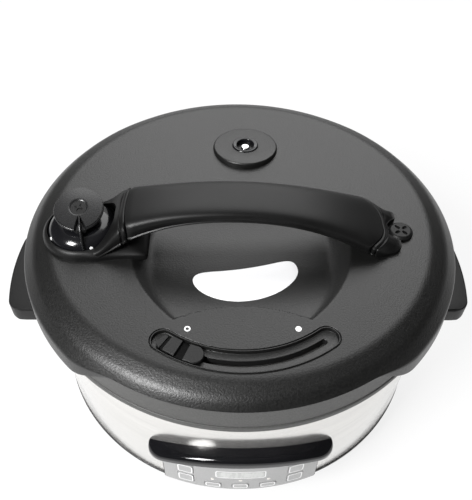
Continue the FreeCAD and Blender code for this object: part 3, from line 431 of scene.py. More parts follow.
def lid_grain(finish):
    """The lid's grain: its noise, and the roughness and normal that it gives."""
    fine = finish.noise(900.0, 3.0)
    return fine, finish.vary(fine, 0.35, 0.45), finish.bump(fine, 0.00018, 0.8)


def lid_plastic():
    """Grained black plastic of the lid, flatter on the lip under the crease and painted paler there, a
    painted sheen.
    """
    finish = Finish("lid_plastic")
    fine, rough, grain = lid_grain(finish)
    cloud = finish.noise(24.0, 4.0)
    x, y, z = finish.axes(finish.place)
    low, high = [LID_TOP - drop for drop in LIP_DROP]
    lip = finish.ramp(z, low, high, 1.0, 0.0) * (x * x + y * y < LIP_OUTSIDE ** 2)
    top = finish.tones(finish.ramp(fine * 0.75 + cloud * 0.25, 0.36, 0.64), paint("lid"), 0.72, 1.30)
    return finish.lay(
        # The lip's paler colour is a painted sheen, standing in for the floor's reflection on its upright
        # face.
        Base_Color=finish.mix(lip, top, shade(paint("lid"), LIP_PAINTED_SHEEN)),
        Roughness=rough + lip * 0.12, Normal=grain)


def channel_plastic():
    """The lid's grained plastic in the slider's channel, duller down in the groove and painted black there as
    shade.
    """
    finish = Finish("channel_plastic")
    fine, rough, grain = lid_grain(finish)
    floor = LID_TOP - CHANNEL_DEPTH
    shallow = finish.ramp(finish.axes(finish.place)[2], floor - 0.0006, floor)
    tone = finish.tones(finish.ramp(fine, 0.36, 0.64), paint("lid"), 0.72, 1.30)
    return finish.lay(
        # Painted shade: below the channel's floor the colour falls to nearly black.
        Base_Color=finish.mix(shallow, shade(paint("lid"), 0.08), tone),
        Roughness=rough + (1.0 - shallow) * 0.3, Normal=grain)


def handle_plastic():
    """Satin plastic of the lid handle, with the faintest grain."""
    return moulded("handle_plastic", paint("handle"), 0.40, 1500.0, 0.00003, level=0.24)


def collar_plastic():
    """Flat plastic of the collar, painted as pale as the lid's lip: the same painted sheen."""
    # Painted sheen: the collar takes the lip's lightened colour.
    return moulded("collar_plastic", shade(paint("lid"), LIP_PAINTED_SHEEN), 0.50, 900.0, 0.00006)


def side_plastic():
    """Satin plastic of the side handles, the slider's tabs and the panel's housing."""
    return moulded("side_plastic", shade(paint("handle"), 1.15), 0.46, 1100.0, 0.00006, level=0.34)


def black_plastic():
    """Plain black plastic of the base, the inlet and the display's module."""
    return moulded("black_plastic", (0.016, 0.016, 0.016), 0.50, 800.0, 0.00008)


def slot_black():
    """Dull black plastic of the slider's plate, painted darker still as shade, deep in its channel."""
    return moulded("slot_black", (0.002, 0.002, 0.002), 0.70, 900.0, 0.00004, level=0.1)


def gloss_black():
    """Polished black plastic of the hood and the float's ring, with the faintest waviness."""
    finish = Finish("gloss_black")
    wave = finish.noise(26.0, 1.0)
    fine = finish.noise(2200.0, 1.0)
    return finish.lay(
        Base_Color=finish.tones(wave, paint("gloss"), 0.7, 1.3),
        Roughness=finish.vary(fine, 0.07, 0.12),
        Specular_IOR_Level=0.35, Coat_Weight=finish.vary(wave, 0.04, 0.10), Coat_Roughness=0.04)


def dome_gloss():
    """Polished black plastic of the regulator's dome, with its two white dots."""
    finish = Finish("dome_gloss")
    fine = finish.noise(1500.0, 1.0)
    dots = reduce(Value.__or__, [finish.near(on_dome(turn, DOT_HEIGHT), DOT_RADIUS) for turn in DOT_TURNS])
    return finish.lay(
        Base_Color=finish.mix(dots, tuple(paint("gloss")), tuple(paint("print"))),
        Roughness=finish.vary(fine, 0.12, 0.18) + dots * 0.3)


def knob_plastic():
    """Satin plastic of the regulator's cap, duller in the well at its middle and painted darker there as
    shade.
    """
    finish = Finish("knob_plastic")
    fine = finish.noise(1300.0, 2.0)
    well = finish.near((KNOB_MIDDLE.x, KNOB_MIDDLE.y, WELL_HEIGHT), WELL_RADIUS)
    base = (0.009, 0.009, 0.0094)
    return finish.lay(
        # Painted shade: the well in the cap's middle is painted far darker than the rest.
        Base_Color=finish.mix(well, finish.tones(fine, base, 0.75, 1.35), shade(base, 0.15)),
        Roughness=finish.vary(fine, 0.24, 0.32) + well * 0.4, Normal=finish.bump(fine, 0.00004, 0.6))


def brushed(name, base, rough, waves, stretch, depth, metal=1.0):
    """Brushed metal: noise drawn out along the brush in colour, gloss and height."""
    finish = Finish(name)
    fine = finish.noise(waves, 4.0, stretch)
    broad = finish.noise(waves * 0.12, 2.0, stretch)
    tone = finish.ramp(fine * 0.6 + broad * 0.4, 0.35, 0.65)
    return finish.lay(
        Base_Color=finish.tones(tone, base, 0.93, 1.06), Metallic=metal,
        Roughness=finish.vary(fine, rough - 0.05, rough + 0.06), Normal=finish.bump(fine, depth, 0.5))


def wall_steel():
    """Brushed steel of the wall, its brush marks level round the body."""
    return brushed("wall_steel", paint("steel"), 0.16, 1400.0, (0.02, 0.02, 1.0), 0.00002, 0.85)


def liner_steel():
    """Plain rolled steel of the liner, the lock ring and the fittings of the vent and the float."""
    return brushed("liner_steel", (0.56, 0.56, 0.55), 0.30, 700.0, (0.05, 0.05, 1.0), 0.00003)


def screw_steel():
    """Bright plated steel of the screws, the sensor and its spring, and the regulator's weight."""
    return brushed("screw_steel", (0.62, 0.61, 0.59), 0.26, 1800.0, EVEN, 0.00002)


def element_steel():
    """Heat-darkened tube of the element."""
    return brushed("element_steel", (0.30, 0.27, 0.24), 0.42, 900.0, EVEN, 0.00004)


def cast_aluminium():
    """Cast aluminium of the heating plate and the pressure plate, matt with fine pits."""
    return brushed("cast_aluminium", (0.60, 0.60, 0.61), 0.48, 620.0, EVEN, 0.00010)


def blade_brass():
    """Brass of the inlet's blades."""
    return brushed("blade_brass", (0.62, 0.46, 0.20), 0.30, 1500.0, (1.0, 1.0, 0.1), 0.00002)


def pot_coating():
    """Dark coating of the pot, with fine pale flecks."""
    finish = Finish("pot_coating")
    flecks = finish.node("ShaderNodeTexVoronoi", None, {"Vector": finish.place, "Scale": 420.0})
    fine = finish.noise(900.0, 2.0)
    base = (0.030, 0.030, 0.032)
    return finish.lay(
        Base_Color=finish.mix(flecks < 0.16, base, shade(base, 4.0)),
        Roughness=finish.vary(fine, 0.30, 0.42), Normal=finish.bump(fine, 0.00005, 0.6))


def circuit_board():
    """Green board with paler tracks."""
    finish = Finish("circuit_board")
    tracks = finish.noise(260.0, 0.0, (1.0, 0.2, 1.0))
    return finish.lay(
        Base_Color=finish.mix(finish.ramp(tracks, 0.48, 0.52), (0.01, 0.10, 0.04), (0.03, 0.19, 0.08)),
        Roughness=finish.ramp(tracks, 0.4, 0.6, 0.35, 0.5))


def foot_rubber():
    """Matt rubber of the feet."""
    return moulded("foot_rubber", (0.022, 0.022, 0.022), 0.75, 700.0, 0.00010)


def seal_silicone():
    """Cloudy silicone of the sealing ring and the float's gasket."""
    return moulded("seal_silicone", (0.55, 0.55, 0.53), 0.52, 300.0, 0.00004, 0.06)


def pin_metal():
    """Polished metal of the float pin."""
    return brushed("pin_metal", (0.86, 0.86, 0.85), 0.18, 1500.0, EVEN, 0.00001)


def decal_plate():
    """Bare white film of the crescent plate, smooth with a faint grain."""
    finish = Finish("decal_plate")
    fine = finish.noise(1700.0, 2.0)
    return finish.lay(
        Base_Color=finish.tones(fine, paint("decal"), 0.95, 1.04),
        Roughness=finish.vary(fine, 0.36, 0.44))


def mark_paint():
    """White paint of the small marks."""
    return moulded("mark_paint", paint("print"), 0.55, 1500.0, 0.00001, 0.04)


def panel_print(finish, places):
    """Mask of rounded square outlines on the panel: the distance to each outline, worked out from
    the way round the panel and the height, is under half a line."""
    x, y, z = finish.axes(finish.place)
    around = finish.math("ARCTAN2", x, 0.0 - y) * PANEL_RADIUS
    lines = []
    for angle, height, half_width, half_height in places:
        side = abs(around - math.radians(angle) * PANEL_RADIUS) - (half_width - PRINT_CORNER) | 0.0
        up = abs(z - height) - (half_height - PRINT_CORNER) | 0.0
        lines.append(abs(finish.math("SQRT", side * side + up * up) - PRINT_CORNER) < PRINT_LINE)
    return reduce(Value.__or__, lines)


def silver_paint(name, base, places):
    """Silver paint with fine metal flecks and white outlines round the keys."""
    finish = Finish(name)
    flecks = finish.noise(2600.0, 2.0)
    tone = finish.tones(finish.ramp(flecks, 0.35, 0.65), base, 0.90, 1.12)
    printed = panel_print(finish, places)
    return finish.lay(
        Base_Color=finish.mix(printed, tone, (0.82, 0.82, 0.82)),
        Metallic=0.35 - printed * 0.35,
        Roughness=finish.vary(flecks, 0.34, 0.44))


def panel_silver():
    """Silver overlay with white outlines."""
    return silver_paint("panel_silver", paint("panel"), PANEL_OUTLINES)


def key_silver():
    """Silver key tops, a shade lighter, each with its outline."""
    return silver_paint("key_silver", shade(paint("panel"), 1.08), KEY_OUTLINES)


def window_clear():
    """Pale display window, with the faint bars of its unlit digits."""
    finish = Finish("window_clear")
    bars = finish.noise(520.0, 0.0, (1.0, 1.0, 0.25))
    return finish.lay(
        Base_Color=finish.mix(finish.ramp(bars, 0.45, 0.6), (0.46, 0.47, 0.46), (0.38, 0.39, 0.38)),
        Roughness=finish.vary(bars, 0.14, 0.2), Coat_Weight=0.6)


def light_lens():
    """Milky lens of the indicator lights."""
    return moulded("light_lens", (0.70, 0.68, 0.64), 0.22, 2000.0, 0.00001, 0.05)


def finish_of(make):
    """The material of a finish, made when it is first asked for."""
    if make.__name__ not in FINISHES:
        FINISHES[make.__name__] = make()
    return FINISHES[make.__name__]


def dress(make, *nodes):
    """Give solids of the frame a finish."""
    for name in nodes:
        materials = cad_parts[name].data.materials
        materials.clear()
        materials.append(finish_of(make))


def smooth(low, high, x):
    """Cubic step: 0 under low, 1 over high, 3t^2 - 2t^3 between."""
    t = np.clip((x - low) / (high - low), 0.0, 1.0)
    return t * t * (3.0 - 2.0 * t)


def soft_least(round_off, *fields):
    """Least of several fields, rounded where they cross: -k log(sum(exp(-f / k)))."""
    stack = np.stack(np.broadcast_arrays(*fields))
    low = stack.min(0)
    return low - round_off * np.log(np.exp((low - stack) / round_off).sum(0))


def rounded(corners, steps=6):
    """Polyline of (u, v, radius) corners. Each corner becomes an arc of its radius that touches both
    sides: points on the arc are the centre plus the two end spokes, weighed by sines of the turn."""
    corner = np.array([c[:2] for c in corners], float)
    radius = np.array([c[2] if len(c) > 2 else 0.0 for c in corners])[:, None]
    back = np.roll(corner, 1, 0) - corner
    ahead = np.roll(corner, -1, 0) - corner
    back /= np.linalg.norm(back, axis=1, keepdims=True)
    ahead /= np.linalg.norm(ahead, axis=1, keepdims=True)
    half = np.arccos(np.clip((back * ahead).sum(1, keepdims=True), -0.999999, 0.999999)) / 2
    inward = back + ahead
    inward /= np.linalg.norm(inward, axis=1, keepdims=True) + 1e-12
    centre = corner + inward * radius / np.sin(half)
    start = corner + back * radius / np.tan(half) - centre
    end = corner + ahead * radius / np.tan(half) - centre
    turn = np.pi - 2 * half
    t = np.linspace(0, 1, steps)
    first = (np.sin((1 - t) * turn) / np.sin(turn))[..., None]
    second = (np.sin(t * turn) / np.sin(turn))[..., None]
    return (centre[:, None] + first * start[:, None] + second * end[:, None]).reshape(-1, 2)


def turned(profile, columns=128, middle=(0.0, 0.0)):
    """Grid of an (r, z) profile turned about an upright axis: x = r cos t, y = r sin t."""
    turn = np.linspace(0, 2 * np.pi, columns, endpoint=False)
    r = profile[:, :1]
    z = profile[:, 1:] + 0 * turn
    return np.stack([middle[0] + r * np.cos(turn), middle[1] + r * np.sin(turn), z], -1)


def quads(rows, columns, wrap_rows):
    """Corner numbers of the quads of a grid whose columns run round."""
    row, column = np.meshgrid(np.arange(rows - (not wrap_rows)), np.arange(columns), indexing="ij")
    below = (row + 1) % rows
    right = (column + 1) % columns
    corners = [(row, column), (below, column), (below, right), (row, right)]
    return np.stack([r * columns + c for r, c in corners], -1).reshape(-1, 4)


def skin(grid, wrap_rows=False):
    """Closed skin over a grid whose columns run round: its points, its quads and, unless the rows run
    round too, one flat face on its first row and one on its last."""
    rows, columns = grid.shape[:2]
    ends = [] if wrap_rows else [np.arange(columns), np.arange(columns) + (rows - 1) * columns]
    return grid.reshape(-1, 3), quads(rows, columns, wrap_rows), ends


def piece(name, skins, body, make, slot, *replaced, sharp=38.0):
    """One piece from closed skins: doubled points merged, faces turned outwards, finished and riding."""
    points, corners, sizes = [], [], []
    count = 0
    for vertices, faces, ends in skins:
        points.append(vertices)
        corners += [faces.ravel() + count] + [end + count for end in ends]
        sizes += [np.full(len(faces), 4)] + [np.array([len(end)]) for end in ends]
        count += len(vertices)
    points = np.concatenate(points).astype(np.float32)
    corners = np.concatenate(corners).astype(np.int32)
    sizes = np.concatenate(sizes)
    mesh = bpy.data.meshes.new(name)
    mesh.vertices.add(len(points))
    mesh.vertices.foreach_set("co", points.ravel())
    mesh.loops.add(len(corners))
    mesh.loops.foreach_set("vertex_index", corners)
    mesh.polygons.add(len(sizes))
    mesh.polygons.foreach_set("loop_start", (np.cumsum(sizes) - sizes).astype(np.int32))
    mesh.update(calc_edges=True)
    work = bmesh.new()
    work.from_mesh(mesh)
    bmesh.ops.remove_doubles(work, verts=work.verts, dist=2e-6)
    bmesh.ops.recalc_face_normals(work, faces=work.faces)
    work.to_mesh(mesh)
    work.free()
    mesh.validate()
    mesh.shade_smooth()
    mesh.set_sharp_from_angle(angle=math.radians(sharp))
    mesh.materials.append(finish_of(make))
    made = bpy.data.objects.new(name, mesh)
    bpy.context.scene.collection.objects.link(made)
    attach(made, body)
    if replaced:
        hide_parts(*replaced)


def on_arc(angle, radius=ARC_RADIUS):
    """Points about the middle of the slider's arc: x = mx + r cos t, y = my + r sin t."""
    return ARC_MIDDLE[0] + radius * np.cos(angle), ARC_MIDDLE[1] + radius * np.sin(angle)


def arc_offsets(ends, along=70, cap=22):
    """Way round a band along the slider's arc: points on its middle line and the outward direction at
    each. The outside runs along the arc, the end turns half round, and the inside runs back."""
    start, end = np.radians(ends)
    forth = np.linspace(start, end, along)
    round_end = np.linspace(0, np.pi, cap + 2)[1:-1]
    angle = np.concatenate([forth, np.full(cap, end), forth[::-1], np.full(cap, start)])
    way = np.concatenate([forth, end + round_end, forth[::-1] + np.pi, start + np.pi + round_end])
    return np.stack(on_arc(angle), -1), np.stack([np.cos(way), np.sin(way)], -1)


def band_rows(ends, rows):
    """Rows round a band along the slider's arc, each at a half width and a height: middle line plus
    half width times the outward direction."""
    line, way = arc_offsets(ends)
    half = np.array(rows)[:, :1, None]
    height = np.array(rows)[:, 1:, None] + np.zeros((1, len(line), 1))
    return np.concatenate([line + half * way, height], -1)


def from_channel(x, y):
    """Nearest point on the middle line of the slider's channel, on its arc or at its nearer end, and the
    distance from it."""
    angle = np.degrees(np.arctan2(y - ARC_MIDDLE[1], x - ARC_MIDDLE[0]))
    near_x, near_y = on_arc(np.radians(np.clip(angle, *CHANNEL_ENDS)))
    return near_x, near_y, np.hypot(x - near_x, y - near_y)


def recess_edge(x, y):
    """Distance in from the recess's front arch, a circle about a point in front of it."""
    return np.hypot(x, y - ARCH_MIDDLE_Y) - ARCH_RADIUS


def recess_depth(x, y):
    """Depth of the hand recess: the least of a floor that slopes down from the arch, of side walls along a
    cubic and of a back wall, rounded where they meet, behind a short step along the arch."""
    side = np.polyval(np.polyfit(RECESS_SIDE_Y, RECESS_SIDE_X, 3), np.clip(y, -0.095, 0.015)) - np.abs(x)
    floor = RECESS_STEP + (RECESS_DEPTH - RECESS_STEP) * smooth(-0.094, -0.030, y)
    depth = soft_least(0.0007, floor, 0.62 * side, 1.2 * (RECESS_BACK_Y - y))
    return np.maximum(depth, 0.0) * np.clip(recess_edge(x, y) / ARCH_STEP_RUN, 0.0, 1.0)


def lid_height(x, y):
    """Height of the lid's top over its flat level: the recess, and a pocket under the slider's channel."""
    pocket = np.where(from_channel(x, y)[2] < POCKET_HALF - 0.0001, POCKET_DEPTH, 0.0)
    return -np.maximum(recess_depth(x, y), pocket)


def lid_edges(sizes):
    """Corners of the lid's section outside its flat top, at its front and through a wing."""
    lip = sizes.lid_radius - sizes.lip_inset
    crease = LID_TOP - sizes.crease_drop
    foot = LID_TOP - sizes.lip_drop
    inner = lip - sizes.lid_wall
    under = LID_TOP - sizes.lid_wall
    shared = [(lip, foot, 0.0005), (inner, foot, 0.0004), (inner, crease - 0.003, 0.004),
              (sizes.flat_radius - 0.004, under - 0.0004, 0.012)]
    start = (sizes.flat_radius, LID_TOP, 0.014)
    roll, swell = [(radius, crease + rise, ROLL_FILLET) for radius, rise in (ROLL_FRONT, ROLL_WING)]
    plain = [start, roll, (sizes.lid_radius, crease + 0.0004, 0.0004),
             (sizes.lid_radius - 0.0002, crease - 0.0004, 0.0003), (lip, crease - 0.0006, 0.0002), *shared]
    wing = sizes.wing_radius
    swelled = [start, swell, (wing, LID_TOP - WING_SHOULDER, 0.0040),
               (wing + 0.0006, LID_TOP - WING_FOOT, 0.0012), (lip, LID_TOP - 0.0266, 0.0002), *shared]
    return plain, swelled


def drawn_to_arch(x, y, reach, allowed):
    """Grid points near a line at a distance in from the recess's arch, drawn on to that line."""
    gap = recess_edge(x, y) - reach
    pull = np.where(allowed & (np.abs(gap) < GRID_PULL * 0.8) & (np.abs(x) < 0.045), gap, 0.0)
    away = np.hypot(x, y - ARCH_MIDDLE_Y)
    return x - pull * x / away, y - pull * (y - ARCH_MIDDLE_Y) / away


def lid_grid(sizes):
    """The lid's skin. Rows run from the middle of the flat top over the edge, down the lip and back under
    the lid; columns run round it, closer together at the front. Each edge row is a mix of the front
    section and the wing's, by a cubic step of the angle from the front."""
    u = np.linspace(-1, 1, 480, endpoint=False)
    angle = np.pi * (0.6 * u + 0.4 * u ** 3)
    plain, swelled = [rounded([(0.0, LID_TOP), *edge, (0.0, LID_TOP - sizes.lid_wall)], 7)[7:-7]
                      for edge in lid_edges(sizes)]
    degrees = np.degrees(np.abs(angle))
    share = smooth(30.0, 44.5, degrees) * smooth(150.0, 135.5, degrees)
    edge = plain[:, None] + share[:, None] * (swelled - plain)[:, None]
    top = np.concatenate([np.linspace(0.0, 0.048, 15), np.linspace(0.0490, plain[0, 0] - 0.0008, 88)])
    under = np.linspace(1.0, 0.0, 14)[1:, None] ** 0.9
    radius = np.concatenate([top[:, None] + 0 * u, edge[..., 0], edge[-1:, :, 0] * under])
    height = np.concatenate([LID_TOP + 0 * top[:, None] * u, edge[..., 1], edge[-1:, :, 1] + 0 * under])
    x = radius * np.sin(angle)
    y = -radius * np.cos(angle)
    on_top = height > LID_TOP - 0.0002
    x, y = drawn_to_arch(x, y, 0.0, on_top)
    x, y = drawn_to_arch(x, y, ARCH_STEP_RUN, on_top)
    near_x, near_y, gap = from_channel(x, y)
    by_pocket = on_top & (np.abs(gap - POCKET_HALF) < GRID_PULL)
    share = np.where(by_pocket, POCKET_HALF / np.maximum(gap, 1e-9), 1.0)
    x = near_x + share * (x - near_x)
    y = near_y + share * (y - near_y)
    flat = np.abs(radius) < sizes.flat_radius - 0.001
    height = height + np.where(flat, lid_height(x, y), 0.0)
    return np.stack([x, y, height], -1)


def float_boss():
    """Low round pad about the float valve: a profile turned about its axis, its top sloping up from the
    lid's level at the back to a step at the front."""
    foot = LID_TOP - 0.001
    profile = rounded([(0.0, foot), (BOSS_RADIUS, foot), (BOSS_RADIUS, LID_TOP + 0.0006, 0.0002),
                       (BOSS_RADIUS - 0.0006, LID_TOP + 0.0027, 0.0014),
                       (BOSS_HOLE, LID_TOP + 0.0030, 0.0002), (BOSS_HOLE, foot)], 6)
    grid = turned(profile, 128, FLOAT_MIDDLE)
    back = (grid[..., 1] - FLOAT_MIDDLE.y) / BOSS_RADIUS
    up = grid[..., 2] - LID_TOP
    grid[..., 2] = LID_TOP + np.where(up > 0, up * (BOSS_SLOPE[0] - BOSS_SLOPE[1] * back), up)
    return grid


def crescent_plate():
    """Thin bare plate on the recess's floor. Its outline hangs on a sloping chord: below it a deep bow,
    a power of 1 - t^2, and above it a shallow hollow curve, with t from -1 to 1 along the chord. Rows draw
    the outline in towards its middle, and each point lies on the floor."""
    turn = np.linspace(0, 2 * np.pi, 160, endpoint=False)
    t = np.sign(np.cos(turn)) * np.abs(np.cos(turn)) ** 0.7
    x = PLATE_MIDDLE[0] + PLATE_HALF * t
    bow = -PLATE_BOW * np.maximum(1 - t ** 2, 0.0) ** 0.6
    hollow = (0.0062 + 3.0 * (x + 0.010) ** 2) * np.maximum(1 - t ** 8, 0.0) ** 0.5
    y = PLATE_MIDDLE[1] + PLATE_SLOPE * (x - PLATE_MIDDLE[0]) + np.where(np.sin(turn) < 0, bow, hollow)
    top = [(share, PLATE_TOP) for share in (0.985, 0.8, 0.55, 0.25, 0.0)]
    rows = np.array([(0.0, PLATE_SUNK), (1.0, PLATE_SUNK), (1.0, 0.00012), *top])
    px = PLATE_MIDDLE[0] + rows[:, :1] * (x - PLATE_MIDDLE[0])
    py = PLATE_MIDDLE[1] + rows[:, :1] * (y - PLATE_MIDDLE[1])
    return np.stack([px, py, LID_TOP + lid_height(px, py) + rows[:, 1:]], -1)


def channel_grid():
    """The channel's moulding: rows at a half width and height run from the groove's lower edge out under
    the floor, up over a double rim, down the wall and over the floor to the groove again."""
    outer = [(0.0074, -0.0075), (0.0076, -0.0010), (RIM_HALF, -0.0004), (0.0082, 0.0003), (0.0080, 0.0005),
             (0.0078, 0.0003), (0.0077, -0.0008), (0.0074, -0.0008), (0.0073, 0.0002), (0.0069, 0.0002),
             (CHANNEL_HALF, -0.0004), (0.0065, 0.0002 - CHANNEL_DEPTH), (0.0062, -CHANNEL_DEPTH)]
    inner = [(0.0021, -CHANNEL_DEPTH), (0.0018, -CHANNEL_DEPTH - 0.0003), (0.0018, -0.0075)]
    raised = [[(half, LID_TOP + height) for half, height in rows] for rows in (outer, inner)]
    return np.concatenate([band_rows(CHANNEL_ENDS, raised[0]), band_rows(GROOVE_ENDS, raised[1])])


def mark_grids():
    """Two small raised marks on the lid: a ring by the channel's left end and a dot by its right end."""
    low, high = LID_TOP - 0.0003, LID_TOP + 0.0001
    inner = MARK_RADIUS * 0.55
    ring = np.array([(inner, low), (MARK_RADIUS, low), (MARK_RADIUS, high), (inner, high)])
    dot = np.array([(MARK_RADIUS, low), (MARK_RADIUS, high)])
    left, right = MARK_PLACES
    return [skin(turned(ring, 48, (left, MARK_Y)), True), skin(turned(dot, 48, (right, MARK_Y)))]


def arc_tab(start, end, half, low, high, round_start, round_end):
    """Raised tab on the slider. Its outline, with rounded corners, is laid out in metres along the arc and
    across it. Rows lift it and draw its top edge in by a bevel, and each point is bent on to the arc."""
    to_degrees = 180 / np.pi / ARC_RADIUS
    reach = (end - start) / to_degrees
    outline = rounded([(0.0, -half, round_start), (reach, -half, round_end), (reach, half, round_end),
                       (0.0, half, round_start)], 8)
    middle = np.array([reach / 2, 0.0])
    rows = np.array([(1.0, low), (1.0, high - 0.0005), (0.92, high)])
    drawn = middle + rows[:, :1, None] * (outline - middle)
    x, y = on_arc(np.radians(start + drawn[..., 0] * to_degrees), ARC_RADIUS + drawn[..., 1])
    return np.stack([x, y, rows[:, 1:] + 0 * x], -1)


def handle_line(x):
    """Half width, underside and top of the handle along x: a power of the share of the way from its
    crown to the nearer end bends it down, and its cube flares it."""
    right = x > GRIP_CROWN_X
    reach = np.where(right, GRIP_HIGH.x - GRIP_CROWN_X, GRIP_LOW.x - GRIP_CROWN_X)
    span = np.clip((x - GRIP_CROWN_X) / reach, 0.0, 1.3)
    flare = np.where(right, GRIP_FLARE[1], GRIP_FLARE[0])
    half = bpy.context.scene.cooker_sizes.grip_half + flare * span ** 3
    low, top = [crown - (crown - np.where(right, at_right, at_left)) * span ** GRIP_BEND
                for crown, at_left, at_right in zip(GRIP_CROWN, GRIP_LEFT, GRIP_RIGHT)]
    return half, low, top


def grip_section(columns=64):
    """Unit section of the handle: across from -1 to 1 and up from 0 to 1. The top is a flat superellipse,
    the lower edges stand out in a thin bead, and the underside is hollowed a little."""
    t = np.linspace(0, np.pi, columns)
    across = np.sign(np.cos(t)) * np.abs(np.cos(t)) ** 0.42
    up = 0.16 + 0.84 * np.sin(t) ** 0.62
    left = [(-1.035, 0.11), (-1.035, 0.03), (-0.99, -0.02), (-0.90, 0.0), (-0.60, 0.05)]
    right = [(-u, v) for u, v in reversed(left)]
    return np.concatenate([np.stack([across, up], -1), left, [(0.0, 0.08)], right])


def bowed(across, bow):
    """How far a bowed end reaches in plan: a parabola across the handle."""
    return bow[0] - bow[1] * np.clip(across, -1, 1) ** 2


def grip_grid():
    """The grip: the unit section, scaled to the handle's line at stations along x. Towards each end the
    stations take on the end's bow, and the last ones draw in to leave a groove at the joint."""
    section = grip_section()
    s = np.linspace(-1, 1, 90)
    station = (s * 0.75 + 0.25 * s ** 3)[:, None]
    x = (GRIP_LOW.x + GRIP_HIGH.x) / 2 + station * (GRIP_HIGH.x - GRIP_LOW.x) / 2
    ends = np.where(station > 0, bowed(section[:, 0], RIGHT_BOW), bowed(section[:, 0], LEFT_BOW))
    along = x + ends * np.abs(station) ** 6
    half, low, top = handle_line(along)
    close = 1.0 - 0.05 * smooth(0.985, 1.0, np.abs(station))
    y = HANDLE_Y + section[:, 0] * half * close
    z = (low + top) / 2 + (section[:, 1] - 0.5) * (top - low) * close
    return np.stack([along, y, z], -1)


def closing_rows(count):
    """Shares from 0 to 1 along an end of the handle, with one more row at 1 that falls to its base, so that
    a hollowed end is closed by an upright wall. The second column is 0 there and 1 elsewhere."""
    s = np.append(np.linspace(0, 1, count), 1.0)[:, None]
    shut = np.append(np.ones(count), 0.0)[:, None]
    return s, shut


def parted(way, band, depth):
    """Scale of the section along an end of the handle: 1 less a bell of some depth at the band's far edge,
    which parts the band off, and less a cubic step at the joint itself."""
    share = way / band
    return 1.0 - depth * np.exp(-((share - 1.0) / 0.16) ** 2) - 0.05 * smooth(0.25, 0.0, share)


def foot_grid():
    """Right end of the handle: the unit section runs from the grip's bowed end to an end drawn as two horns
    about the screw's notch, while its top falls to the lid. A groove parts off a thin band at its start."""
    section = grip_section()
    s, shut = closing_rows(40)
    start = GRIP_HIGH.x + JOINT_GAP + bowed(section[:, 0], RIGHT_BOW)
    half, low, top = handle_line(start)
    y = section[:, 0] * half * (1.0 - 0.20 * s ** 2.2)
    notch = SCREW_MIDDLE_X - np.sqrt(np.maximum(NOTCH_RADIUS ** 2 - y ** 2, 0.0))
    horn = FOOT_END_X - 0.0060 * smooth(0.0150, 0.0225, np.abs(y))
    x = start + s * (np.minimum(notch, horn) - start)
    groove = parted(x - start, FOOT_BAND, 0.06)
    crest = top - (top - LID_TOP - FOOT_END_HEIGHT) * smooth(-0.15, 1.0, s)
    base = LID_TOP - 0.0002 + (low - LID_TOP) * smooth(0.5, 0.0, s)
    z = base + section[:, 1] * (crest - base) * groove * shut
    return np.stack([x, HANDLE_Y + y * groove, z], -1)


def pad_grid(sizes):
    """Pad about the dome and under the handle's left end. Columns run round the dome's axis; rows run from
    the bore over the top, down the outside and back underneath. The outline is a circle about the dome that
    runs on into two straight sides and a round end under the grip."""
    t = np.linspace(-np.pi, np.pi, 240, endpoint=False)
    bore = sizes.dome_radius + 0.0002
    ahead = np.maximum(np.cos(t), 1e-6)
    to_end = PAD_REACH / ahead
    to_side = (PAD_RADIUS - 0.0030 * smooth(0.3, 0.9, ahead)) / np.maximum(np.abs(np.sin(t)), 1e-6)
    outline = np.where(np.cos(t) > 0, soft_least(0.0018, to_end, to_side), PAD_RADIUS)
    outline = np.maximum(outline, bore + 0.0015)
    reach = np.array([(0.0, -1.0), (0.0, 0.94), (0.05, 1.0), (0.25, 0.98), (0.60, 0.80), (0.85, 0.58),
                      (0.96, 0.42), (1.0, 0.30), (1.0, 0.12), (1.02, 0.04), (1.02, -1.0)])
    radius = bore + reach[:, :1] * (outline - bore)
    up = np.where(reach[:, 1:] < 0, -0.0015, reach[:, 1:] * PAD_HEIGHT) + 0 * t
    return np.stack([KNOB_MIDDLE.x + radius * np.cos(t), HANDLE_Y + radius * np.sin(t), LID_TOP + up], -1)


def arm_grid(sizes):
    """Left end of the handle, over the pad: the unit section runs from the grip's bowed end to an end
    hollowed about the dome, while its top and its lower edge fall to the pad. A groove parts off a band."""
    section = grip_section()
    s, shut = closing_rows(44)
    start = GRIP_LOW.x - JOINT_GAP + bowed(section[:, 0], LEFT_BOW)
    half, low, top = handle_line(np.array(GRIP_LOW.x))
    y = section[:, 0] * (half + (PAD_RADIUS - 0.0012 - half) * smooth(0.0, 1.0, s))
    hollow = sizes.dome_radius + 0.0006
    end = KNOB_MIDDLE.x + np.sqrt(np.maximum(hollow ** 2 - y ** 2, ARM_HORN ** 2))
    x = start + s * (end - start)
    share = np.clip((GRIP_LOW.x - x) / (GRIP_LOW.x - KNOB_MIDDLE.x - ARM_HORN), 0.0, 1.0)
    crest = top - (top - LID_TOP - PAD_HEIGHT - 0.0003) * smooth(-0.12, 1.0, share)
    base = low - (low - LID_TOP - 0.0004) * share ** 0.8
    groove = parted(start - x, ARM_BAND, 0.05)
    z = base + section[:, 1] * (crest - base) * groove * shut
    return np.stack([x, HANDLE_Y + y * groove, z], -1)


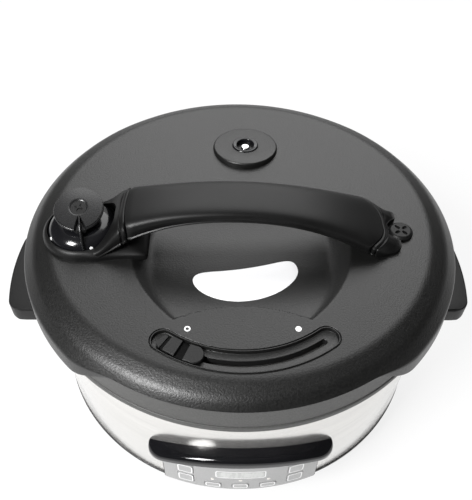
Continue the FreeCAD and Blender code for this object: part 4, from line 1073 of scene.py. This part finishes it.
def screw_grid():
    """The handle screw's head: a profile turned about its axis, with four drop-shaped hollows in its top,
    each an ellipse along one of four arms."""
    foot = LID_TOP - 0.0005
    rim = rounded([(0.0, foot), (SCREW_RADIUS, foot), (SCREW_RADIUS, LID_TOP + 0.0018, 0.0005),
                   (0.0066, LID_TOP + 0.0032, 0.0016), (0.0, LID_TOP + 0.0034)], 8)[:-8]
    top = np.stack([np.linspace(rim[-1, 0], 0.0, 34)[1:], np.full(33, rim[-1, 1])], -1)
    grid = turned(np.concatenate([rim, top]), 192, (SCREW_MIDDLE_X, HANDLE_Y))
    u = grid[..., 0] - SCREW_MIDDLE_X
    v = grid[..., 1] - HANDLE_Y
    turn = np.arctan2(v, u) - math.radians(38.0)
    away = np.hypot(u, v)
    apart = np.abs((turn + np.pi / 4) % (np.pi / 2) - np.pi / 4) * away
    inside = smooth(1.0, 0.7, np.hypot((away - 0.0034) / 0.0021, apart / 0.0012))
    grid[..., 2] -= 0.0016 * inside * (grid[..., 2] > LID_TOP + 0.0022)
    return grid


def on_dome(turn, height):
    """Point on the regulator's dome at a turn about its axis and a height."""
    profile = dome_profile()
    radius = np.interp(height, profile[:, 1], profile[:, 0])
    angle = math.radians(turn)
    return (KNOB_MIDDLE.x + radius * math.cos(angle), KNOB_MIDDLE.y + radius * math.sin(angle), height)


def dome_profile():
    """Outside of the dome: straight at its foot, then a quarter of an ellipse."""
    t = np.linspace(0, np.pi / 2, 22)
    radius = bpy.context.scene.cooker_sizes.dome_radius
    curve = np.stack([DOME_TOP_RADIUS + (radius - DOME_TOP_RADIUS) * np.cos(t),
                      DOME_SPRING + DOME_RISE * np.sin(t)], -1)
    return np.concatenate([[(radius, LID_TOP - 0.0003)], curve])


def knob_grid(sizes):
    """The regulator's cap: a profile turned about its axis, its columns closer together at the pointer,
    where a drop-shaped notch is sunk into the top."""
    u = np.linspace(-1, 1, 144, endpoint=False)
    angle = math.radians(POINTER_TURN) + np.pi * (0.35 * u + 0.65 * u ** 3)
    rim = sizes.knob_radius
    under = rounded([(0.0, NECK_LOW), (NECK_RADIUS, NECK_LOW, 0.0004), (NECK_RADIUS, 0.1760, 0.0003),
                     (rim - 0.0026, 0.1764, 0.0003), (rim - 0.0006, 0.1784, 0.0004), (rim, 0.1796, 0.0005),
                     (rim - 0.0005, 0.1806, 0.0006)], 5)[5:]
    radius = np.linspace(rim - 0.0009, 0.0, 40)
    ring = np.exp(-((radius - 0.0049) / 0.0007) ** 2)
    well = smooth(0.0046, 0.0040, radius)
    top = CAP_TOP + 0.0011 * (1 - (radius / rim) ** 2) - 0.0008 * ring - 0.0007 * well
    profile = np.concatenate([[(0.0, NECK_LOW)], under, np.stack([radius, top], -1)])
    r = profile[:, :1]
    level = profile[:, 1:]
    side = r * np.sin(angle - math.radians(POINTER_TURN))
    ahead = r * np.cos(angle - math.radians(POINTER_TURN))
    half = CAP_NOTCH_HALF * np.clip((ahead - CAP_NOTCH_START) / CAP_NOTCH_RUN, 0.0, 1.2) ** 0.75
    sunk = smooth(0.0004, -0.0006, np.abs(side) - half) * (ahead > CAP_NOTCH_START) * (level > 0.1795)
    z = level - CAP_NOTCH_DEPTH * sunk + (CAP_RAISE - CAP_SLOPE * ahead) * smooth(*CAP_LEVEL, level)
    x = KNOB_MIDDLE.x + r * np.cos(angle)
    y = KNOB_MIDDLE.y + r * np.sin(angle)
    return np.stack([x, y, z], -1)


def pointer_grid():
    """Pointer ridge: a thin ridge-shaped section carried along a line from the cap's top over its edge and
    down the dome."""
    out = [0.0062, 0.0090, 0.0136, 0.0170, 0.0198, 0.0224, 0.0244]
    up = [0.1818, 0.1818, 0.1806, 0.1781, 0.1743, 0.1705, 0.1676]
    width = [0.0003, 0.0007, 0.0011, 0.0012, 0.0012, 0.0011, 0.0007]
    drop = [0.0010, 0.0024, 0.0030, 0.0034, 0.0034, 0.0030, 0.0018]
    s = np.linspace(0, 6, 40)
    radius, height, half, depth = [np.interp(s, range(7), v)[:, None] for v in (out, up, width, drop)]
    slope = np.gradient(height[:, 0], radius[:, 0])[:, None]
    tilt = np.hypot(1.0, slope)
    section = np.array([(-1.0, -1.0), (-0.85, -0.35), (-0.35, -0.04), (0.0, 0.0), (0.35, -0.04),
                        (0.85, -0.35), (1.0, -1.0)])
    down = section[:, 1] * depth
    ahead = radius - down * slope / tilt
    z = height + down / tilt
    side = section[:, 0] * half
    turn = math.radians(POINTER_TURN)
    x = KNOB_MIDDLE.x + ahead * math.cos(turn) - side * math.sin(turn)
    y = KNOB_MIDDLE.y + ahead * math.sin(turn) + side * math.cos(turn)
    return np.stack([x, y, z], -1)


def hub_grid():
    """Small cross in the cap's middle: four low arms on a round base, sloping with the cap."""
    t = np.linspace(0, 2 * np.pi, 96, endpoint=False)
    reach = HUB_RADIUS + HUB_ARM * np.exp(-((((t - 0.4) % (np.pi / 2)) - np.pi / 4) / 0.24) ** 2)
    rows = np.array([(1.0, 0.1800), (1.0, 0.1819), (0.88, HUB_TOP), (0.0, HUB_TOP)])
    x = rows[:, :1] * reach * np.cos(t)
    y = rows[:, :1] * reach * np.sin(t)
    turn = math.radians(POINTER_TURN)
    z = rows[:, 1:] + CAP_RAISE - CAP_SLOPE * (x * math.cos(turn) + y * math.sin(turn))
    return np.stack([KNOB_MIDDLE.x + x, KNOB_MIDDLE.y + y, z], -1)


def hood_grid():
    """Hood over the panel: at each angle from the front its section is a rounded block from the wall to the
    hood's front, between two level arches; the front draws back in a quarter circle at each end."""
    limit = math.radians(HOOD_SPREAD)
    s = np.linspace(-1, 1, 90)
    angle = (limit * np.sin(s * np.pi / 2))[:, None]
    corner = math.radians(HOOD_CORNER)
    inset = np.clip((np.abs(angle) - (limit - corner)) / corner, 0.0, 1.0)
    front = HOOD_FRONT - HOOD_DRAW * (1.0 - np.sqrt(1.0 - inset ** 2))
    section = rounded([(0.0, 0.0, 0.02), (1.0, 0.0, 0.10), (1.0, 1.0, 0.42), (0.0, 1.0, 0.02)], 9)
    wall = bpy.context.scene.cooker_sizes.wall_radius
    radius = wall + section[:, 0] * (front - wall)
    x = radius * np.sin(angle)
    over, under = [crown - bend + np.sqrt(bend ** 2 - x ** 2) for crown, bend in (HOOD_OVER, HOOD_UNDER)]
    z = under + section[:, 1] * (over - under)
    return np.stack([x, -radius * np.cos(angle), z], -1)


def side_handle_grid(way):
    """Side handle: at each station along y a rounded section in x and z, a slab over a short root, runs from
    the wall's curve to an outer arc whose ends are rounded in plan. The end stations stand in by a bevel."""
    low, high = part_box("side_handle_right")
    half = high.y - HANDLE_BEVEL
    s = np.linspace(-1, 1, 60)
    y = np.concatenate([[-high.y], half * np.sin(s * np.pi / 2), [high.y]])
    inset = np.concatenate([[HANDLE_BEVEL], 0 * s, [HANDLE_BEVEL]])
    wall = np.sqrt((bpy.context.scene.cooker_sizes.wall_radius + 0.0001) ** 2 - y ** 2)
    over = np.clip((np.abs(y) - high.y + HANDLE_CORNER) / HANDLE_CORNER, 0.0, 0.985)
    corner = HANDLE_CORNER * (1.0 - np.sqrt(1.0 - over ** 2))
    outer = np.sqrt(high.x ** 2 - (y - HANDLE_ARC_Y) ** 2) - corner - inset
    knee = np.sqrt(HANDLE_ROOT ** 2 - y ** 2)
    under = high.z - HANDLE_THICK
    stations = []
    for place, inner, root, end, drawn in zip(y, wall, knee, outer, inset):
        profile = rounded([(inner, low.z, 0.0003), (root, low.z, 0.0016), (root, under + drawn, 0.0022),
                           (end, under + drawn, 0.0012), (end, high.z - drawn, 0.0014),
                           (inner, high.z - drawn, 0.0003)], 6)
        across = np.full(len(profile), place)
        stations.append(np.stack([profile[:, 0] * way, across, profile[:, 1]], -1))
    return np.stack(stations)


def collar_profile(outer):
    """Section of the collar: a shelf inside the wall with a low rim on its inner edge and a taller one over
    the wall, and outside that a band down to the wall's top edge."""
    shelf_low, shelf_high = COLLAR_SHELF
    low_rim, tall_rim = COLLAR_RIMS
    inside, inner = COLLAR_INNER
    back, wall, front = COLLAR_OUTER
    return rounded([(inside, shelf_low), (wall, shelf_low), (wall, WALL_HIGH), (outer, WALL_HIGH, 0.0010),
                    (outer, COLLAR_BAND_TOP, 0.0008), (front, COLLAR_BAND_TOP), (front, tall_rim, 0.0010),
                    (back, tall_rim), (back, shelf_high), (inner, shelf_high), (inner, low_rim),
                    (inside, low_rim)], 5)


class CookerOperator(bpy.types.Operator):
    """Base of the cooker's operators."""

    bl_options = {"REGISTER", "UNDO"}


class COOKER_OT_lid(CookerOperator):
    """Lid moulding with its wings and hand recess, the float's pad, the crescent plate and two small marks"""

    bl_idname = "cooker.lid"
    bl_label = "Lid"

    def execute(self, context):
        sizes = context.scene.cooker_sizes
        piece("lid_cover_skin", [skin(lid_grid(sizes))], "lid", lid_plastic, "lid_plastic", "lid_cover",
              sharp=50.0)
        piece("lid_float_boss", [skin(float_boss(), True)], "lid", lid_plastic, "lid_plastic")
        piece("lid_crescent_plate", [skin(crescent_plate())], "lid", decal_plate, "panel_silver")
        piece("lid_end_marks", mark_grids(), "lid", mark_paint, "panel_silver")
        return {"FINISHED"}


class COOKER_OT_lock(CookerOperator):
    """Slider's channel with its rim, and the slider's plate with its three tabs"""

    bl_idname = "cooker.lock"
    bl_label = "Lock slider"

    def execute(self, context):
        piece("lid_lock_channel", [skin(channel_grid(), True)], "lid", channel_plastic, "lid_plastic")
        low = LID_TOP - CHANNEL_DEPTH + 0.0003
        plate = band_rows((-121.0, -110.5), [(0.0060, low), (0.0060, low + 0.0006), (0.0056, low + 0.0009)])
        piece("lock_slider_plate", [skin(plate)], "slider", slot_black, "black_plastic")
        tabs = [arc_tab(-126.2, -123.8, 0.0048, low, LID_TOP - 0.0008, 0.0030, 0.0004),
                arc_tab(-122.2, -116.8, 0.0056, low, LID_TOP + 0.0006, 0.0006, 0.0004),
                arc_tab(-113.4, -105.9, 0.0058, low, LID_TOP + 0.0004, 0.0004, 0.0054)]
        piece("lock_slider_tabs", [skin(tab) for tab in tabs], "slider", side_plastic, "black_plastic",
              "lock_slider", sharp=20.0)
        return {"FINISHED"}


class COOKER_OT_handle(CookerOperator):
    """Lid handle: grip, left bracket round the regulator, right foot and the screw"""

    bl_idname = "cooker.handle"
    bl_label = "Lid handle"

    def execute(self, context):
        sizes = context.scene.cooker_sizes
        piece("lid_handle_grip", [skin(grip_grid())], "lid", handle_plastic, "handle_plastic", "handle_grip")
        piece("lid_handle_bracket", [skin(pad_grid(sizes), True), skin(arm_grid(sizes))], "lid",
              handle_plastic, "handle_plastic", "handle_bracket")
        piece("lid_handle_foot", [skin(foot_grid())], "lid", handle_plastic, "handle_plastic", "handle_foot")
        piece("lid_handle_screw", [skin(screw_grid())], "lid", handle_plastic, "handle_plastic",
              "handle_screws", sharp=50.0)
        return {"FINISHED"}


class COOKER_OT_regulator(CookerOperator):
    """Regulator: glossy dome, turning cap, pointer and hub"""

    bl_idname = "cooker.regulator"
    bl_label = "Regulator"

    def execute(self, context):
        sizes = context.scene.cooker_sizes
        outside = dome_profile()
        bore = [(DOME_BORE, outside[-1, 1]), (DOME_BORE, outside[0, 1])]
        dome = turned(np.concatenate([outside, bore]), 128, KNOB_MIDDLE)
        piece("regulator_dome", [skin(dome, True)], "lid", dome_gloss, "gloss_black", "regulator_base")
        cap = [skin(knob_grid(sizes)), skin(pointer_grid()), skin(hub_grid())]
        piece("regulator_cap", cap, "regulator", knob_plastic, "knob_plastic", "regulator_knob")
        return {"FINISHED"}


class COOKER_OT_float(CookerOperator):
    """Finishes of the float valve's ring and pin"""

    bl_idname = "cooker.float_valve"
    bl_label = "Float valve"

    def execute(self, context):
        dress(gloss_black, "float_ring_trim")
        dress(pin_metal, "float_pin")
        return {"FINISHED"}


class COOKER_OT_wall(CookerOperator):
    """Steel wall, the collar on its top edge, the base and its feet"""

    bl_idname = "cooker.wall"
    bl_label = "Wall and collar"

    def execute(self, context):
        sizes = context.scene.cooker_sizes
        outer = sizes.wall_radius
        inner = outer - 0.0008
        profile = rounded([(outer, WALL_LOW, 0.0003), (outer, WALL_HIGH, 0.0003), (inner, WALL_HIGH, 0.0003),
                           (inner, WALL_LOW, 0.0003)], 4)
        wall = turned(profile, 256)
        piece("steel_wall", [skin(wall, True)], "body", wall_steel, "wall_steel", "outer_wall")
        collar = turned(collar_profile(sizes.collar_radius), 256)
        piece("top_collar", [skin(collar, True)], "body", collar_plastic, "black_plastic", "collar_ring")
        dress(black_plastic, "base_shell")
        dress(foot_rubber, "feet")
        return {"FINISHED"}


class COOKER_OT_front(CookerOperator):
    """Hood, control panel, keys, window and lights"""

    bl_idname = "cooker.front"
    bl_label = "Hood and panel"

    def execute(self, context):
        piece("panel_hood", [skin(hood_grid())], "body", gloss_black, "gloss_black", "hood", sharp=50.0)
        dress(panel_silver, "panel_face")
        dress(side_plastic, "panel_housing")
        dress(window_clear, "display_window")
        dress(light_lens, "indicator_lights")
        dress(key_silver, *[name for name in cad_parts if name.startswith("key_")])
        return {"FINISHED"}


class COOKER_OT_side_handles(CookerOperator):
    """The two lifting handles on the wall"""

    bl_idname = "cooker.side_handles"
    bl_label = "Side handles"

    def execute(self, context):
        for side, way in (("left", -1), ("right", 1)):
            piece("lifting_handle_" + side, [skin(side_handle_grid(way))], "body", side_plastic,
                  "handle_plastic", "side_handle_" + side)
        return {"FINISHED"}


class COOKER_OT_inside(CookerOperator):
    """Finishes of the parts under the lid, in the body and at the back"""

    bl_idname = "cooker.inside"
    bl_label = "Inside and back"

    def execute(self, context):
        dress(liner_steel, "inner_liner", "lock_ring", "vent_pipe", "vent_shield", "float_guide")
        dress(cast_aluminium, "heating_plate", "pressure_plate")
        dress(pot_coating, "inner_pot")
        dress(seal_silicone, "sealing_ring", "float_gasket")
        dress(element_steel, "heating_element")
        dress(screw_steel, "base_screws", "side_handle_screws", "lid_screws", "temp_sensor", "sensor_spring",
              "regulator_weight")
        dress(blade_brass, "inlet_pins")
        dress(circuit_board, "power_board", "control_board")
        dress(black_plastic, "power_inlet", "display_module")
        return {"FINISHED"}


def lamp(name, place, aim, size, power):
    """Soft rectangular lamp turned towards a point."""
    data = bpy.data.lights.new(name, "AREA")
    data.shape = "RECTANGLE"
    data.size, data.size_y = size
    data.energy = power
    made = bpy.data.objects.new(name, data)
    bpy.context.scene.collection.objects.link(made)
    made.location = place
    made.rotation_euler = (Vector(aim) - Vector(place)).to_track_quat("-Z", "Y").to_euler()


class COOKER_OT_stage(CookerOperator):
    """Pale floor, soft studio light, white surround and the camera"""

    bl_idname = "cooker.stage"
    bl_label = "Stage"

    def execute(self, context):
        scene = context.scene
        mesh = bpy.data.meshes.new("floor")
        corners = [(x * FLOOR_HALF, y * FLOOR_HALF, 0.0) for x, y in ((-1, -1), (1, -1), (1, 1), (-1, 1))]
        mesh.from_pydata(corners, [], [(0, 1, 2, 3)])
        floor = bpy.data.objects.new("floor", mesh)
        scene.collection.objects.link(floor)
        mesh.materials.append(floor_paint(scene.cooker_colours.floor))
        lamp("back_softbox", place=(0.15, 1.15, 1.35), aim=(0.0, 0.0, 0.1), size=(1.6, 1.2), power=16.0)
        lamp("front_softbox", place=(-0.68, -0.68, 1.01), aim=(-0.05, -0.12, 0.15), size=(0.4, 0.4),
             power=24.0)
        light_world(scene)
        place_camera(scene)
        scene.view_settings.view_transform = "Standard"
        return {"FINISHED"}


def floor_paint(base):
    """Pale floor: mostly plain white where it is seen, the rest matt, so that it keeps the shadow."""
    material = bpy.data.materials.new("floor_paint")
    material.use_nodes = True
    material.node_tree.nodes.clear()
    nodes = Nodes(material.node_tree)
    seen = nodes.ray("Is Camera Ray") | nodes.ray("Is Glossy Ray") | nodes.ray("Is Transmission Ray")
    matt = nodes.node("ShaderNodeBsdfDiffuse", None, {"Color": tuple(base)})
    glow = nodes.node("ShaderNodeEmission")
    mixed = nodes.node("ShaderNodeMixShader", None, {0: seen * 0.82, 1: matt, 2: glow})
    nodes.node("ShaderNodeOutputMaterial", None, {0: mixed})
    return material


def light_world(scene):
    """Surround: white to the camera and through glass, a dim even light on the object, and in gloss a
    bright sky above and behind that darkens to the front, to both sides and towards the horizon."""
    world = bpy.data.worlds.new("studio")
    scene.world = world
    world.use_nodes = True
    world.node_tree.nodes.clear()
    nodes = Nodes(world.node_tree)
    x, y, z = nodes.axes(nodes.node("ShaderNodeTexCoord", output="Generated"))
    sky = nodes.ramp(y + z, 0.85, 1.22) * nodes.ramp(x * x, 0.10, 0.40, 1.0, 0.0)
    sky = sky | nodes.ramp(z, 0.60, 0.95) * 0.16
    gloss = nodes.ray("Is Glossy Ray")
    share = nodes.ray("Is Camera Ray") | nodes.ray("Is Transmission Ray")
    share = share | gloss * (sky * 0.80 + 0.04) | (1.0 - gloss) * 0.35
    dark = nodes.node("ShaderNodeBackground", None, {"Strength": 0.0})
    white = nodes.node("ShaderNodeBackground", None, {"Color": (1.0, 1.0, 1.0)})
    mixed = nodes.node("ShaderNodeMixShader", None, {0: share, 1: dark, 2: white})
    nodes.node("ShaderNodeOutputWorld", None, {0: mixed})


def place_camera(scene):
    """Camera: turned about its view, tipped up from straight down and headed to the right."""
    view = scene.cooker_view
    data = bpy.data.cameras.new("photo_camera")
    data.lens = view.lens
    data.sensor_width = 36.0
    camera = bpy.data.objects.new("photo_camera", data)
    scene.collection.objects.link(camera)
    turn = (Matrix.Rotation(-view.heading, 4, "Z") @ Matrix.Rotation(math.pi / 2 - view.tilt, 4, "X")
            @ Matrix.Rotation(view.roll, 4, "Z"))
    camera.matrix_world = Matrix.Translation(view.place) @ turn
    scene.camera = camera


class COOKER_PT_panel(bpy.types.Panel):
    """Sidebar panel with the cooker's steps and settings"""

    bl_idname = "COOKER_PT_panel"
    bl_label = "Pressure cooker"
    bl_space_type = "VIEW_3D"
    bl_region_type = "UI"
    bl_category = "Cooker"

    def draw(self, context):
        for operator in OPERATORS:
            self.layout.operator(operator.bl_idname)
        for group in ("cooker_sizes", "cooker_colours", "cooker_view"):
            settings = getattr(context.scene, group)
            box = self.layout.box()
            for name in settings.__annotations__:
                box.prop(settings, name)


OPERATORS = (COOKER_OT_lid, COOKER_OT_lock, COOKER_OT_handle, COOKER_OT_regulator, COOKER_OT_float,
             COOKER_OT_wall, COOKER_OT_front, COOKER_OT_side_handles, COOKER_OT_inside, COOKER_OT_stage)
GROUPS = {"cooker_sizes": CookerSizes, "cooker_colours": CookerColours, "cooker_view": CookerView}


def register():
    """Register the classes, and hang the settings on the scene."""
    for made in (*GROUPS.values(), *OPERATORS, COOKER_PT_panel):
        bpy.utils.register_class(made)
    for name, group in GROUPS.items():
        setattr(bpy.types.Scene, name, bpy.props.PointerProperty(type=group))


def unregister():
    """Take the settings and the classes away again."""
    for name in GROUPS:
        delattr(bpy.types.Scene, name)
    for made in reversed((*GROUPS.values(), *OPERATORS, COOKER_PT_panel)):
        bpy.utils.unregister_class(made)


def main():
    """Build the cooker and its stage."""
    register()
    for operator in OPERATORS:
        group, name = operator.bl_idname.split(".")
        getattr(getattr(bpy.ops, group), name)()


if __name__ == "__main__":
    main()
